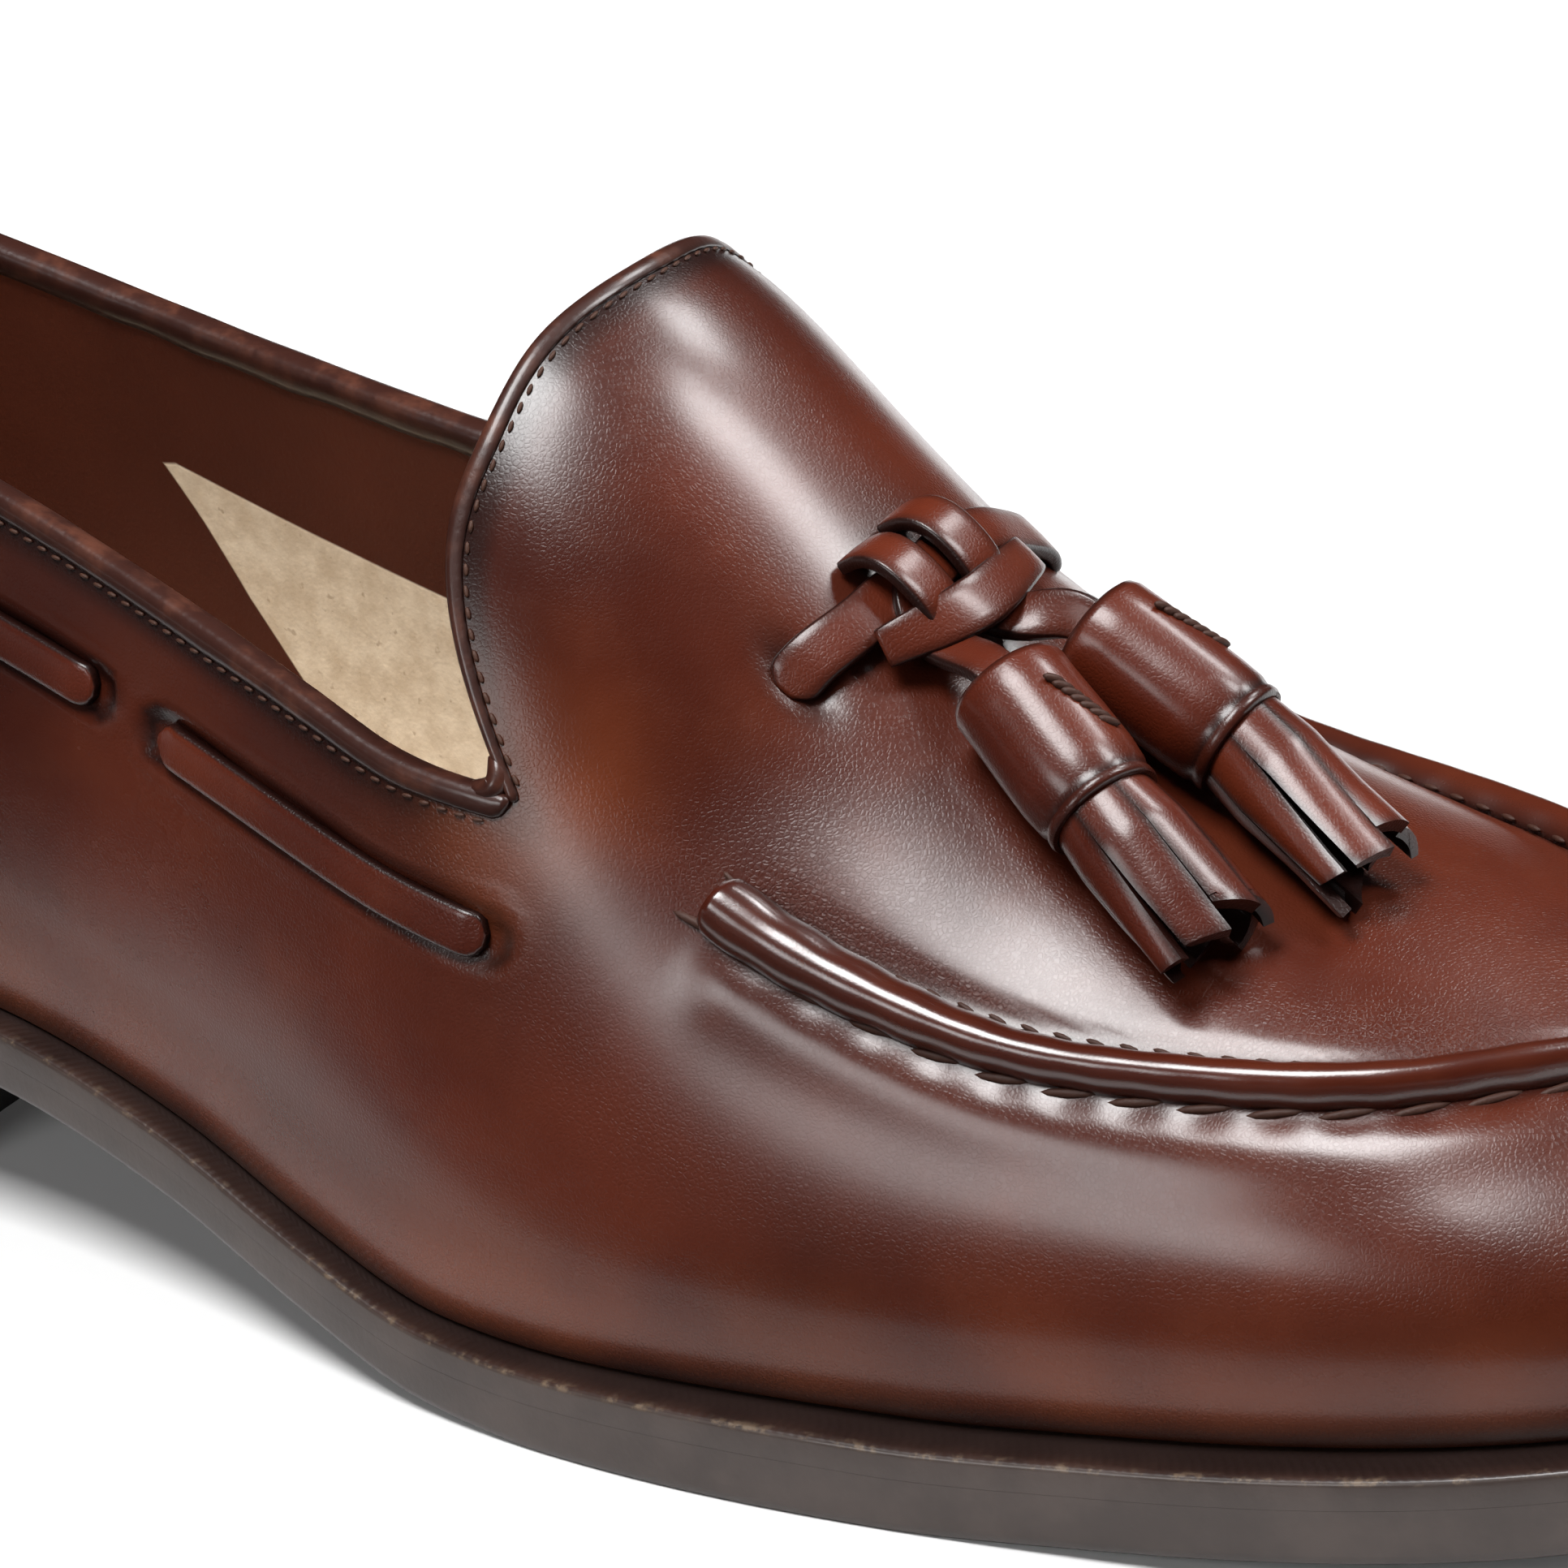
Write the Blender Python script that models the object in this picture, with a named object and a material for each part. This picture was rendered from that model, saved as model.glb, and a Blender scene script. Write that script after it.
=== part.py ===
"""Tassel loafer for the right foot, in metres, +X to the toe, +Y to the medial side, +Z up.

The origin is on the floor under the middle of the heel. Every section of the last is a
formula in named sizes, and the short tables hold their lengths as shares of those sizes.
"""
import math

import bmesh
import bpy
import numpy as np
from mathutils import Vector

MM = 0.001

# Sole and last
SHOE_LENGTH = 300 * MM
BALL_WIDTH = 102 * MM
INSTEP_HEIGHT = 106 * MM
COLLAR_HEIGHT = 92 * MM
HEEL_HEIGHT = 26.5 * MM
HEEL_LENGTH = 66.8 * MM
TOE_SPRING = 9.4 * MM
UPPER_BACK = 3.0 * MM
UPPER_TOE_MARGIN = 6.5 * MM
HEEL_CURVE = 2.6 * MM
HEEL_LEAN = 3.4 * MM
HEEL_CURVE_REACH = 46 * MM
WELT_SHOW = 2.8 * MM
SIDE_SWELL = 2.8 * MM
SWELL_SHARE = 0.22

# Thicknesses and clearances
WALL = 2.2 * MM
SEAT_GAP = 0.3 * MM
WELT_THICKNESS = 2.8 * MM
OUTSOLE_THICKNESS = 5.8 * MM
WAIST_THINNING = 2.1 * MM
INSOLE_ABOVE_WELT = 2.6 * MM
TOP_PIECE_THICKNESS = 6.0 * MM
TOP_PIECE_INSET = 1.6 * MM
HEEL_FLARE = 1.2 * MM
BREAST_CURVE = 3.5 * MM
EDGE_ROUND = 0.9 * MM
WELT_ROUND = 0.6 * MM
INSOLE_ROUND = 0.9 * MM

# Collar and tongue edge
CORNER_FROM_HEEL = 161 * MM
BINDING_WIDTH = 3.0 * MM
BINDING_THICKNESS = 0.8 * MM
BINDING_STOP = 4.5 * MM
BINDING_GAP = 0.65 * MM

# Moccasin roll
ROLL_WIDTH = 4.2 * MM
ROLL_HEIGHT = 2.7 * MM
ROLL_SHAPE = ((-0.5, 0), (-0.46, 0.55), (-0.22, 1), (0.22, 1), (0.46, 0.55), (0.5, 0))

# Laces and tassels
LACE_WIDTH = 5.2 * MM
LACE_THICKNESS = 1.5 * MM
LACE_DROP = 13.4 * MM
COLLAR_LACE_WIDTH = 4.2 * MM
ON_LEATHER_GAP = 0.6 * MM
LOOP_WIDTH = 5.0 * MM
TASSEL_RADIUS = 6.1 * MM
TASSEL_LIFT = 6.7 * MM
TIP_LIFT = 4.2 * MM
TASSEL_STRIPS = 6
STRIP_SEGMENTS = 3
STRIP_THICKNESS = 1.5 * MM
STRAP_SHAPE = ((-0.5, 0), (-0.5, 0.72), (-0.38, 1), (0.38, 1), (0.5, 0.72), (0.5, 0))

# Widths of a collar lace's first places at a rounded end, and how far apart those places are,
# as shares of its width
ROUND_ENDS = (0.35, 0.82)
ROUND_END_STEP = 0.19

# Tassel: places down the barrel and its radius there as shares, then the same for a strip,
# with how far the fringe is pressed flat
BARREL_PROFILE = ((0.0, 0.80), (0.05, 0.95), (0.12, 1.0), (0.9, 1.02), (0.96, 0.98), (1.0, 0.88))
STRIP_PROFILE = {
    "down": [0.12, 0.40, 0.72, 1.0],
    "spread": [0.96, 1.10, 1.14, 1.08],
    "flatten": [0.97, 0.86, 0.68, 0.54],
}

COLOURS = {
    "calf": (0.165, 0.042, 0.020, 1),
    "edge": (0.060, 0.036, 0.028, 1),
    "lining": (0.42, 0.30, 0.19, 1),
    "rubber": (0.030, 0.024, 0.022, 1),
    "binding": (0.050, 0.016, 0.012, 1),
}

# Outline of the sole: share of the length, then half widths as shares of the ball width
OUTLINE = {
    "along": [0, 0.02, 0.07, 0.15, 0.26, 0.38, 0.50, 0.62, 0.74, 0.84, 0.92, 0.97, 1],
    "lateral": [0, 0.180, 0.286, 0.320, 0.342, 0.404, 0.486, 0.508, 0.468, 0.415, 0.333, 0.228, 0],
    "medial": [0, 0.182, 0.286, 0.312, 0.300, 0.266, 0.308, 0.414, 0.484, 0.455, 0.362, 0.244, 0],
}

# Side profile of the sole: share of the length, underside as a share of the heel height
UNDERSIDE = {
    "along": [0, 0.20, 0.28, 0.37, 0.44, 0.50, 0.56, 0.68, 0.76, 0.86, 1],
    "rise": [0.755, 0.745, 0.672, 0.466, 0.221, 0.045, 0, 0, 0.045, 0.142, 0.355],
    "thin": [1, 1, 1, 0.9, 0.8, 0.55, 0.25, 0, 0, 0, 0.1],
}

# Sections of the upper, from the heel's back to the toe's tip. margin is the welt that shows,
# in shares of its named size; ridge is the height of a section's top as a share of the instep
# height; lean moves the ridge to the medial side as a share of the ball width.
SECTIONS = {
    "along": [0, 0.06, 0.16, 0.30, 0.42, 0.515, 0.56, 0.615, 0.677, 0.72, 0.763, 0.814,
              0.866, 0.911, 0.952, 0.98, 1],
    "margin": [1.1, 1.1, 1.2, 1.35, 1.5, 1.6, 1.75, 1.95, 2.1, 2.15, 2.15, 2.15,
               2.1, 2.0, 1.9, 1.8, 1.8],
    "ridge": [1.06, 1.08, 1.11, 1.10, 1.03, 0.994, 0.915, 0.772, 0.645, 0.573, 0.521, 0.482,
              0.438, 0.398, 0.352, 0.298, 0.165],
    "lean": [0, 0, 0, 0.01, 0.015, 0.015, 0.015, 0.02, 0.02, 0.03, 0.03, 0.03,
             0.02, 0.01, 0, 0, 0],
}

# Each side of those sections. swell and up place the widest point off the feather line, in
# side swells; wall and crown are how far the side stays upright and the top level.
LATERAL_SIDE = {
    "along": SECTIONS["along"],
    "swell": [0, 0.5, 0.55, 0.5, 0.5, 0.55, 0.6, 0.65, 0.7, 0.7, 0.7, 0.7, 0.65, 0.6, 0.45, 0.3, 0],
    "up": [6.6, 6.6, 6.5, 6.2, 5.6, 4.8, 4.4, 4.0, 3.8, 3.7, 3.6, 3.4, 3.2, 3.0, 2.4, 1.6, 0],
    "wall": [0.48, 0.48, 0.46, 0.42, 0.34, 0.30, 0.30, 0.30, 0.32, 0.36, 0.40, 0.45,
             0.50, 0.52, 0.54, 0.55, 0.55],
    "crown": [0.74, 0.74, 0.74, 0.74, 0.78, 0.745, 0.665, 0.60, 0.60, 0.64, 0.68, 0.70,
              0.70, 0.66, 0.60, 0.56, 0.55],
}
MEDIAL_SIDE = {
    "along": SECTIONS["along"],
    "swell": [0, 0.5, 0.6, 1.0, 1.8, 2.3, 2.2, 1.5, 0.9, 0.7, 0.7, 0.7, 0.65, 0.6, 0.45, 0.3, 0],
    "up": [6.6, 6.6, 6.6, 7.5, 9.0, 9.5, 8.5, 6.5, 4.6, 4.0, 3.7, 3.4, 3.2, 3.0, 2.4, 1.6, 0],
    "wall": [0.48, 0.48, 0.46, 0.42, 0.36, 0.32, 0.32, 0.32, 0.34, 0.36, 0.40, 0.45,
             0.50, 0.52, 0.54, 0.55, 0.55],
    "crown": [0.74, 0.74, 0.74, 0.80, 0.91, 0.93, 0.68, 0.58, 0.60, 0.64, 0.68, 0.70,
              0.70, 0.66, 0.60, 0.56, 0.55],
}

# Topline of the collar: distance from the heel as a share of the corner's, heights as shares
# of the collar height
TOPLINE = {
    "along": [0, 0.08, 0.16, 0.24, 0.32, 0.40, 0.50, 0.58, 0.66, 0.75, 0.84, 0.92, 1],
    "lateral": [1.0, 0.985, 0.972, 0.967, 0.963, 0.955, 0.924, 0.890, 0.851, 0.807, 0.764, 0.722, 0.700],
    "medial": [1.0, 0.990, 0.970, 0.942, 0.909, 0.876, 0.842, 0.822, 0.801, 0.772, 0.738, 0.716, 0.712],
}

# Edge of the tongue: share of the way from corner to ridge, and how far it sets back from
# the corner as a share of the corner's distance from the heel
TONGUE_EDGE = {
    "up": [0, 0.10, 0.20, 0.35, 0.50, 0.70, 0.85, 1],
    "back": [0, 0.030, 0.053, 0.069, 0.066, 0.061, 0.052, 0.047],
}
TONGUE_BLEND = 42 * MM

# Path of the moccasin roll over the lateral side, apex and medial side: distance from the
# heel as a share of the length, side as a share of the ball width
ROLL_PATH = {
    "along": [0.607, 0.647, 0.691, 0.736, 0.788, 0.818, 0.844, 0.872, 0.888, 0.894,
              0.888, 0.872, 0.844, 0.818, 0.788, 0.736, 0.691, 0.647, 0.607],
    "side": [-0.348, -0.342, -0.330, -0.310, -0.274, -0.242, -0.195, -0.113, -0.045, 0.020,
             0.085, 0.150, 0.225, 0.265, 0.292, 0.318, 0.328, 0.326, 0.318],
}

# Windows of the lace that runs round the collar, as shares of the corner's distance from the
# heel; the heel window goes round the back from side to side
LACE_WINDOWS = {
    "window": ["front", "middle"],
    "from": [0.715, 0.385],
    "to": [0.992, 0.655],
}
HEEL_WINDOW = 0.322

# Places over the upper: distance from the heel as a share of the length, side as a share of
# the ball width, and the height of the piece's middle or base over the leather
FRONT_LACE = {
    "along": [0.610, 0.617, 0.620, 0.621, 0.621, 0.620],
    "side": [-0.190, -0.118, -0.040, 0.040, 0.118, 0.168],
    "lift": [0, 0.6 * MM, 0.9 * MM, 0.9 * MM, 0.5 * MM, 0],
}
KNOT_BAND = {
    "along": [0.628, 0.635, 0.639, 0.637, 0.635],
    "side": [-0.120, -0.080, -0.035, 0.022, 0.072],
    "lift": [3.7 * MM, 4.7 * MM, 5.2 * MM, 4.3 * MM, 3.4 * MM],
}
KNOT_LOOP = {
    "along": [0.6345, 0.6330, 0.6240, 0.6125, 0.6050, 0.6035],
    "lift": [2.8 * MM, 4.7 * MM, 5.9 * MM, 5.7 * MM, 3.6 * MM, 1.6 * MM],
}
LOOP_SIDES = {"lateral": -0.070, "medial": -0.006}
TASSELS = {
    "tassel": ["lateral", "medial"],
    "top_along": [0.6607, 0.6663],
    "top_side": [-0.100, 0.010],
    "end_along": [0.7083, 0.7230],
    "end_side": [-0.141, 0.010],
    "tip_along": [0.7640, 0.7870],
    "tip_side": [-0.186, -0.033],
}
STEM_STARTS = {"lateral": (0.6450, -0.085, 2.6 * MM), "medial": (0.6500, -0.020, 2.6 * MM)}

# Mesh density
RING_ROWS = 8
VAMP_ROWS = 16
SIDE_COLUMNS = 15
VAMP_COLUMNS = 19
SOLE_COLUMNS = 34


def natural_spline(xs, ys):
    """A smooth curve through the points, straight at its ends, as a function."""
    xs = np.asarray(xs, float)
    ys = np.asarray(ys, float)
    n = len(xs)
    gaps = np.diff(xs)
    system = np.eye(n)
    right = np.zeros(n)
    for i in range(1, n - 1):
        system[i, i - 1:i + 2] = gaps[i - 1], 2 * (gaps[i - 1] + gaps[i]), gaps[i]
        right[i] = 6 * ((ys[i + 1] - ys[i]) / gaps[i] - (ys[i] - ys[i - 1]) / gaps[i - 1])
    bend = np.linalg.solve(system, right)

    def curve(x):
        i = int(min(max(np.searchsorted(xs, x) - 1, 0), n - 2))
        h = gaps[i]
        a = (xs[i + 1] - x) / h
        b = (x - xs[i]) / h
        return (a * ys[i] + b * ys[i + 1]
                + ((a ** 3 - a) * bend[i] + (b ** 3 - b) * bend[i + 1]) * h * h / 6)

    return curve


def mirrored_spline(xs, ys):
    """A smooth curve that runs level at its last point, as one that is mirrored there."""
    return natural_spline(list(xs) + [2 * xs[-1] - x for x in xs[-2::-1]], list(ys) + list(ys[-2::-1]))


def level_spline(xs, ys):
    """A curve through the points that never overshoots them, as a function."""
    xs = np.asarray(xs, float)
    ys = np.asarray(ys, float)
    gaps = np.diff(xs)
    rises = np.diff(ys) / gaps
    slopes = np.zeros(len(xs))
    slopes[0] = rises[0]
    slopes[-1] = rises[-1]
    for i in range(1, len(xs) - 1):
        if rises[i - 1] * rises[i] > 0:
            w1 = 2 * gaps[i] + gaps[i - 1]
            w2 = gaps[i] + 2 * gaps[i - 1]
            slopes[i] = (w1 + w2) / (w1 / rises[i - 1] + w2 / rises[i])

    def curve(x):
        x = min(max(x, xs[0]), xs[-1])
        i = int(min(max(np.searchsorted(xs, x) - 1, 0), len(xs) - 2))
        h = gaps[i]
        t = (x - xs[i]) / h
        return ((1 + 2 * t) * (1 - t) ** 2 * ys[i] + t * (1 - t) ** 2 * h * slopes[i]
                + t * t * (3 - 2 * t) * ys[i + 1] + t * t * (t - 1) * h * slopes[i + 1])

    return curve


def turn_of(share):
    """The turn from heel (0) to toe (pi) at a share of the length; it rounds both ends."""
    return math.acos(1 - 2 * min(max(share, 0.0), 1.0))


def share_of(turn):
    return (1 - math.cos(turn)) / 2


def rounded_columns(table):
    """Each column of a table as a smooth function of the turn."""
    turns = [turn_of(s) for s in table["along"]]
    return {name: natural_spline(turns, column) for name, column in table.items() if name != "along"}


outline = rounded_columns(OUTLINE)
sections = rounded_columns(SECTIONS)
flanks = {"lateral": rounded_columns(LATERAL_SIDE), "medial": rounded_columns(MEDIAL_SIDE)}
underside = level_spline(UNDERSIDE["along"], UNDERSIDE["rise"])
thinning = level_spline(UNDERSIDE["along"], UNDERSIDE["thin"])
topline = {side: level_spline(TOPLINE["along"], TOPLINE[side]) for side in ("lateral", "medial")}
tongue_back = mirrored_spline(TONGUE_EDGE["up"], TONGUE_EDGE["back"])

SIDES = {"lateral": -1, "medial": 1}
HEEL_SEAT = HEEL_LENGTH / 2


def place(x, y, z):
    """A point from its distance in front of the heel's back, its side and its height."""
    return Vector((x - HEEL_SEAT, y, z))


def sole_bottom(x):
    toe_share = UNDERSIDE["rise"][-1]
    rise = underside(x / SHOE_LENGTH)
    if x > SHOE_LENGTH / 2:
        return rise / toe_share * TOE_SPRING
    return rise * HEEL_HEIGHT


def outsole_top(x):
    return sole_bottom(x) + OUTSOLE_THICKNESS - WAIST_THINNING * thinning(x / SHOE_LENGTH)


def welt_bottom(x):
    return outsole_top(x) + SEAT_GAP


def welt_top(x):
    return welt_bottom(x) + WELT_THICKNESS


def feather_height(x):
    return welt_top(x) + SEAT_GAP


def sole_half(turn, side):
    return outline[side](turn) * BALL_WIDTH


def inset_half(half, turn, inset):
    """A half width drawn in by an inset that fades towards heel and toe, where x draws in."""
    return max(half - inset * (1 - (1 - math.sin(turn)) ** 2), 0)


UPPER_FRONT = SHOE_LENGTH - UPPER_TOE_MARGIN


def upper_turn(x):
    return turn_of((x - UPPER_BACK) / (UPPER_FRONT - UPPER_BACK))


def upper_x(turn):
    return UPPER_BACK + (UPPER_FRONT - UPPER_BACK) * share_of(turn)


def feather_half(turn, side):
    """Half width of the feather line, where the upper meets the welt."""
    return inset_half(sole_half(turn, side), turn, sections["margin"](turn) * WELT_SHOW)


def bezier(p0, p1, p2, p3, t):
    s = 1 - t
    return s ** 3 * p0 + 3 * s * s * t * p1 + 3 * s * t * t * p2 + t ** 3 * p3


def section_point(turn, side, up):
    """Half width and height of the upper at a share up its section, 0 feather and 1 ridge."""
    x = upper_x(turn)
    foot_z = feather_height(x)
    foot_y = feather_half(turn, side)
    ridge_z = max(sections["ridge"](turn) * INSTEP_HEIGHT, foot_z)
    ridge_y = sections["lean"](turn) * BALL_WIDTH * math.sin(turn) * SIDES[side]
    flank = flanks[side]
    wide_y = foot_y + max(flank["swell"](turn), 0) * SIDE_SWELL
    wide_z = foot_z + max(flank["up"](turn), 0) * SIDE_SWELL
    wide_z = min(wide_z, foot_z + 0.6 * (ridge_z - foot_z))
    wall = flank["wall"](turn)
    crown = flank["crown"](turn)
    if up <= SWELL_SHARE:
        t = up / SWELL_SHARE
        y = bezier(foot_y, foot_y + 0.75 * (wide_y - foot_y), wide_y, wide_y, t)
        z = bezier(foot_z, foot_z + 0.16 * (wide_z - foot_z), foot_z + 0.5 * (wide_z - foot_z), wide_z, t)
        return y, z
    t = (up - SWELL_SHARE) / (1 - SWELL_SHARE)
    span = wide_y - ridge_y
    rise = ridge_z - wide_z
    y = bezier(wide_y, wide_y, ridge_y + crown * span, ridge_y, t)
    z = bezier(wide_z, wide_z + wall * rise, ridge_z, ridge_z, t)
    return y, z


def heel_shift(x, z):
    """The heel's back bulges at half height and leans in at the collar."""
    seat = feather_height(0)
    share = (z - seat) / (COLLAR_HEIGHT - seat)
    bulge = -HEEL_CURVE * math.sin(math.pi * min(max(share * 1.25, 0), 1))
    lean = HEEL_LEAN * max(share - 0.45, 0) ** 2 / 0.3025
    near = math.exp(-((x - UPPER_BACK) / HEEL_CURVE_REACH) ** 2)
    return (bulge + lean) * near


def upper_point(turn, side, up):
    """A point of the upper's outer face, in the part's frame."""
    y, z = section_point(turn, side, up)
    x = upper_x(turn)
    return place(x + heel_shift(x, z), SIDES[side] * y, z)


def up_at_height(turn, side, z):
    """The share up a section at which it reaches a height."""
    low, high = 0.0, 1.0
    for _ in range(40):
        middle = (low + high) / 2
        if section_point(turn, side, middle)[1] < z:
            low = middle
        else:
            high = middle
    return (low + high) / 2


def up_at_side(turn, y):
    """The side and share up its section at which the upper's top reaches a sideways place."""
    ridge = sections["lean"](turn) * BALL_WIDTH * math.sin(turn)
    side = "medial" if y > ridge else "lateral"
    low, high = SWELL_SHARE, 1.0
    for _ in range(40):
        middle = (low + high) / 2
        if section_point(turn, side, middle)[0] > y * SIDES[side]:
            low = middle
        else:
            high = middle
    return side, (low + high) / 2


def collar_height(x, side):
    return topline[side](x / CORNER_FROM_HEEL) * COLLAR_HEIGHT


def ring_top(x, side):
    """Where the ring of the upper stops: the topline, and in front of the corner its level."""
    turn = upper_turn(min(x, CORNER_FROM_HEEL))
    return up_at_height(turn, side, collar_height(min(x, CORNER_FROM_HEEL), side))


def vamp_x(x, rise):
    """Distance from the heel on the vamp, bent near the tongue to follow its edge."""
    blend = max(1 - (x - CORNER_FROM_HEEL) / TONGUE_BLEND, 0) ** 2
    return x - tongue_back(rise) * CORNER_FROM_HEEL * blend


def surface_normal(turn, side, up):
    """The outward normal of the upper's outer face."""
    step = 0.002
    inside = min(max(turn, 0.01), math.pi - 0.01)
    along = upper_point(inside + step, side, up) - upper_point(inside - step, side, up)
    rising = upper_point(inside, side, min(up + step, 1)) - upper_point(inside, side, max(up - step, 0))
    normal = along.cross(rising) if side == "lateral" else rising.cross(along)
    if inside != turn:
        normal.y = 0
    if up == 0:
        normal.z = 0
    return normal.normalized()


def surface_at(x, y):
    """The upper's point and normal over a place given from the heel's back and the centre."""
    turn = upper_turn(x)
    side, up = up_at_side(turn, y)
    return upper_point(turn, side, up), surface_normal(turn, side, up)


def material(name):
    mat = bpy.data.materials.new(name)
    mat.use_nodes = True
    shader = mat.node_tree.nodes["Principled BSDF"]
    shader.inputs["Base Color"].default_value = COLOURS[name]
    shader.inputs["Roughness"].default_value = 0.45
    mat.diffuse_color = COLOURS[name]
    return mat


def add_object(name, vertices, faces, slot, smooth_angle=35):
    """One closed body, welded and with its faces pointing out."""
    mesh = bpy.data.meshes.new(name)
    mesh.from_pydata([tuple(v) for v in vertices], [], faces)
    work = bmesh.new()
    work.from_mesh(mesh)
    bmesh.ops.remove_doubles(work, verts=work.verts, dist=0.000005)
    bmesh.ops.dissolve_degenerate(work, edges=work.edges, dist=0.000001)
    bmesh.ops.recalc_face_normals(work, faces=work.faces)
    work.to_mesh(mesh)
    work.free()
    mesh.shade_smooth()
    mesh.set_sharp_from_angle(angle=math.radians(smooth_angle))
    obj = bpy.data.objects.new(name, mesh)
    obj.data.materials.append(MATERIALS[slot])
    bpy.context.collection.objects.link(obj)
    return obj


def grid_faces(rows, columns, start=0, close_rows=False, close_columns=False):
    """Quads of a grid of vertices stored row by row."""
    faces = []
    for r in range(rows if close_rows else rows - 1):
        for c in range(columns if close_columns else columns - 1):
            r2 = (r + 1) % rows
            c2 = (c + 1) % columns
            faces.append([start + i for i in (r * columns + c, r * columns + c2,
                                              r2 * columns + c2, r2 * columns + c)])
    return faces


def swept(name, stations, slot, closed=False):
    """A solid through equal rings of points, capped at its ends unless it is a closed ring."""
    vertices = [p for ring in stations for p in ring]
    count = len(stations[0])
    faces = grid_faces(len(stations), count, close_rows=closed, close_columns=True)
    if not closed:
        faces.append(list(range(count)))
        faces.append(list(range(len(vertices) - count, len(vertices))))
    return add_object(name, vertices, faces, slot)


def upper_columns():
    """Distances from the heel: collar columns behind the corner and vamp columns in front."""
    corner_turn = upper_turn(CORNER_FROM_HEEL)
    behind = [upper_x(corner_turn * i / SIDE_COLUMNS) for i in range(SIDE_COLUMNS)]
    behind += [CORNER_FROM_HEEL - BINDING_STOP, CORNER_FROM_HEEL]
    front = [upper_x(corner_turn + (math.pi - corner_turn) * i / VAMP_COLUMNS)
             for i in range(VAMP_COLUMNS + 1)]
    return behind, front


def build_upper():
    """The hollow upper: a ring round the heel and sides, and the vamp with its tongue."""
    behind, front = upper_columns()
    half = VAMP_ROWS // 2
    shell = bmesh.new()
    inward = shell.verts.layers.float_vector.new("inward")

    def lay(rows):
        """Adds a grid of surface places, given as (turn, side, up)."""
        grid = []
        for row in rows:
            line = []
            for turn, side, up in row:
                vert = shell.verts.new(upper_point(turn, side, up))
                vert[inward] = -surface_normal(turn, side, up)
                line.append(vert)
            grid.append(line)
        for lower, upper in zip(grid, grid[1:]):
            for a, b, c, d in zip(lower, lower[1:], upper[1:], upper):
                shell.faces.new((a, b, c, d))

    for side in SIDES:
        ring = []
        for r in range(RING_ROWS + 1):
            ring.append([(upper_turn(x), side, ring_top(x, side) * r / RING_ROWS)
                         for x in behind + front[1:]])
        lay(ring)
        vamp = []
        for r in range(half + 1):
            rise = r / half
            vamp.append([(upper_turn(vamp_x(x, rise)), side,
                          ring_top(x, side) + (1 - ring_top(x, side)) * rise) for x in front])
        lay(vamp)

    bmesh.ops.remove_doubles(shell, verts=shell.verts, dist=WALL / 100)
    bmesh.ops.dissolve_degenerate(shell, edges=shell.edges, dist=WALL / 200)
    bmesh.ops.recalc_face_normals(shell, faces=shell.faces)
    if sum(f.normal.z * f.calc_area() for f in shell.faces) < 0:
        bmesh.ops.reverse_faces(shell, faces=shell.faces)
    shell.normal_update()
    shell.verts.index_update()
    outer = [v.co.copy() for v in shell.verts]
    inner = [v.co + v[inward] * WALL for v in shell.verts]
    count = len(outer)
    faces = [[v.index for v in f.verts] for f in shell.faces]
    faces += [[v + count for v in reversed(f)] for f in faces]
    for edge in shell.edges:
        if edge.is_boundary:
            a, b = (v.index for v in edge.verts)
            faces.append([a, b, b + count, a + count])
    shell.free()
    return add_object("upper", outer + inner, faces, "calf")


def outline_points(back, front, inset, columns=SOLE_COLUMNS):
    """A closed outline of the sole, drawn in by an inset, as (distance, side) pairs."""
    points = []
    for side, order in (("lateral", range(columns + 1)), ("medial", range(columns - 1, 0, -1))):
        for i in order:
            turn = math.pi * i / columns
            x = back + inset + (front - back - 2 * inset) * share_of(turn)
            y = inset_half(sole_half(turn, side), turn, inset) * SIDES[side]
            points.append((x, y))
    return points


def feather_points(inset, columns=SOLE_COLUMNS):
    """The upper's feather line, drawn in by an inset."""
    points = []
    for side, order in (("lateral", range(columns + 1)), ("medial", range(columns - 1, 0, -1))):
        for i in order:
            turn = math.pi * i / columns
            x = UPPER_BACK + inset + (UPPER_FRONT - UPPER_BACK - 2 * inset) * share_of(turn)
            y = inset_half(feather_half(turn, side), turn, inset) * SIDES[side]
            points.append((x, y))
    return points


def plate(name, rings, slot):
    """A plate through closed outlines of (x, y, z), capped by strips across its two faces."""
    vertices = [place(*p) for ring in rings for p in ring]
    count = len(rings[0])
    faces = grid_faces(len(rings), count, close_columns=True)
    half = count // 2
    for start in (0, len(vertices) - count):
        for i in range(half):
            mirror = (count - i) % count
            strip = [start + i, start + i + 1, start + (count - i - 1) % count, start + mirror]
            corners = []
            for v in strip:
                if v not in corners:
                    corners.append(v)
            faces.append(corners)
    return add_object(name, vertices, faces, slot)


def build_outsole():
    rings = []
    for inset, level in ((EDGE_ROUND, 0.0), (EDGE_ROUND / 6, 0.16), (0, 0.55), (EDGE_ROUND / 9, 1.0)):
        ring = []
        for x, y in outline_points(0, SHOE_LENGTH, inset):
            low, high = sole_bottom(x), outsole_top(x)
            ring.append((x, y, low + (high - low) * level))
        rings.append(ring)
    return plate("outsole", rings, "edge")


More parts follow.
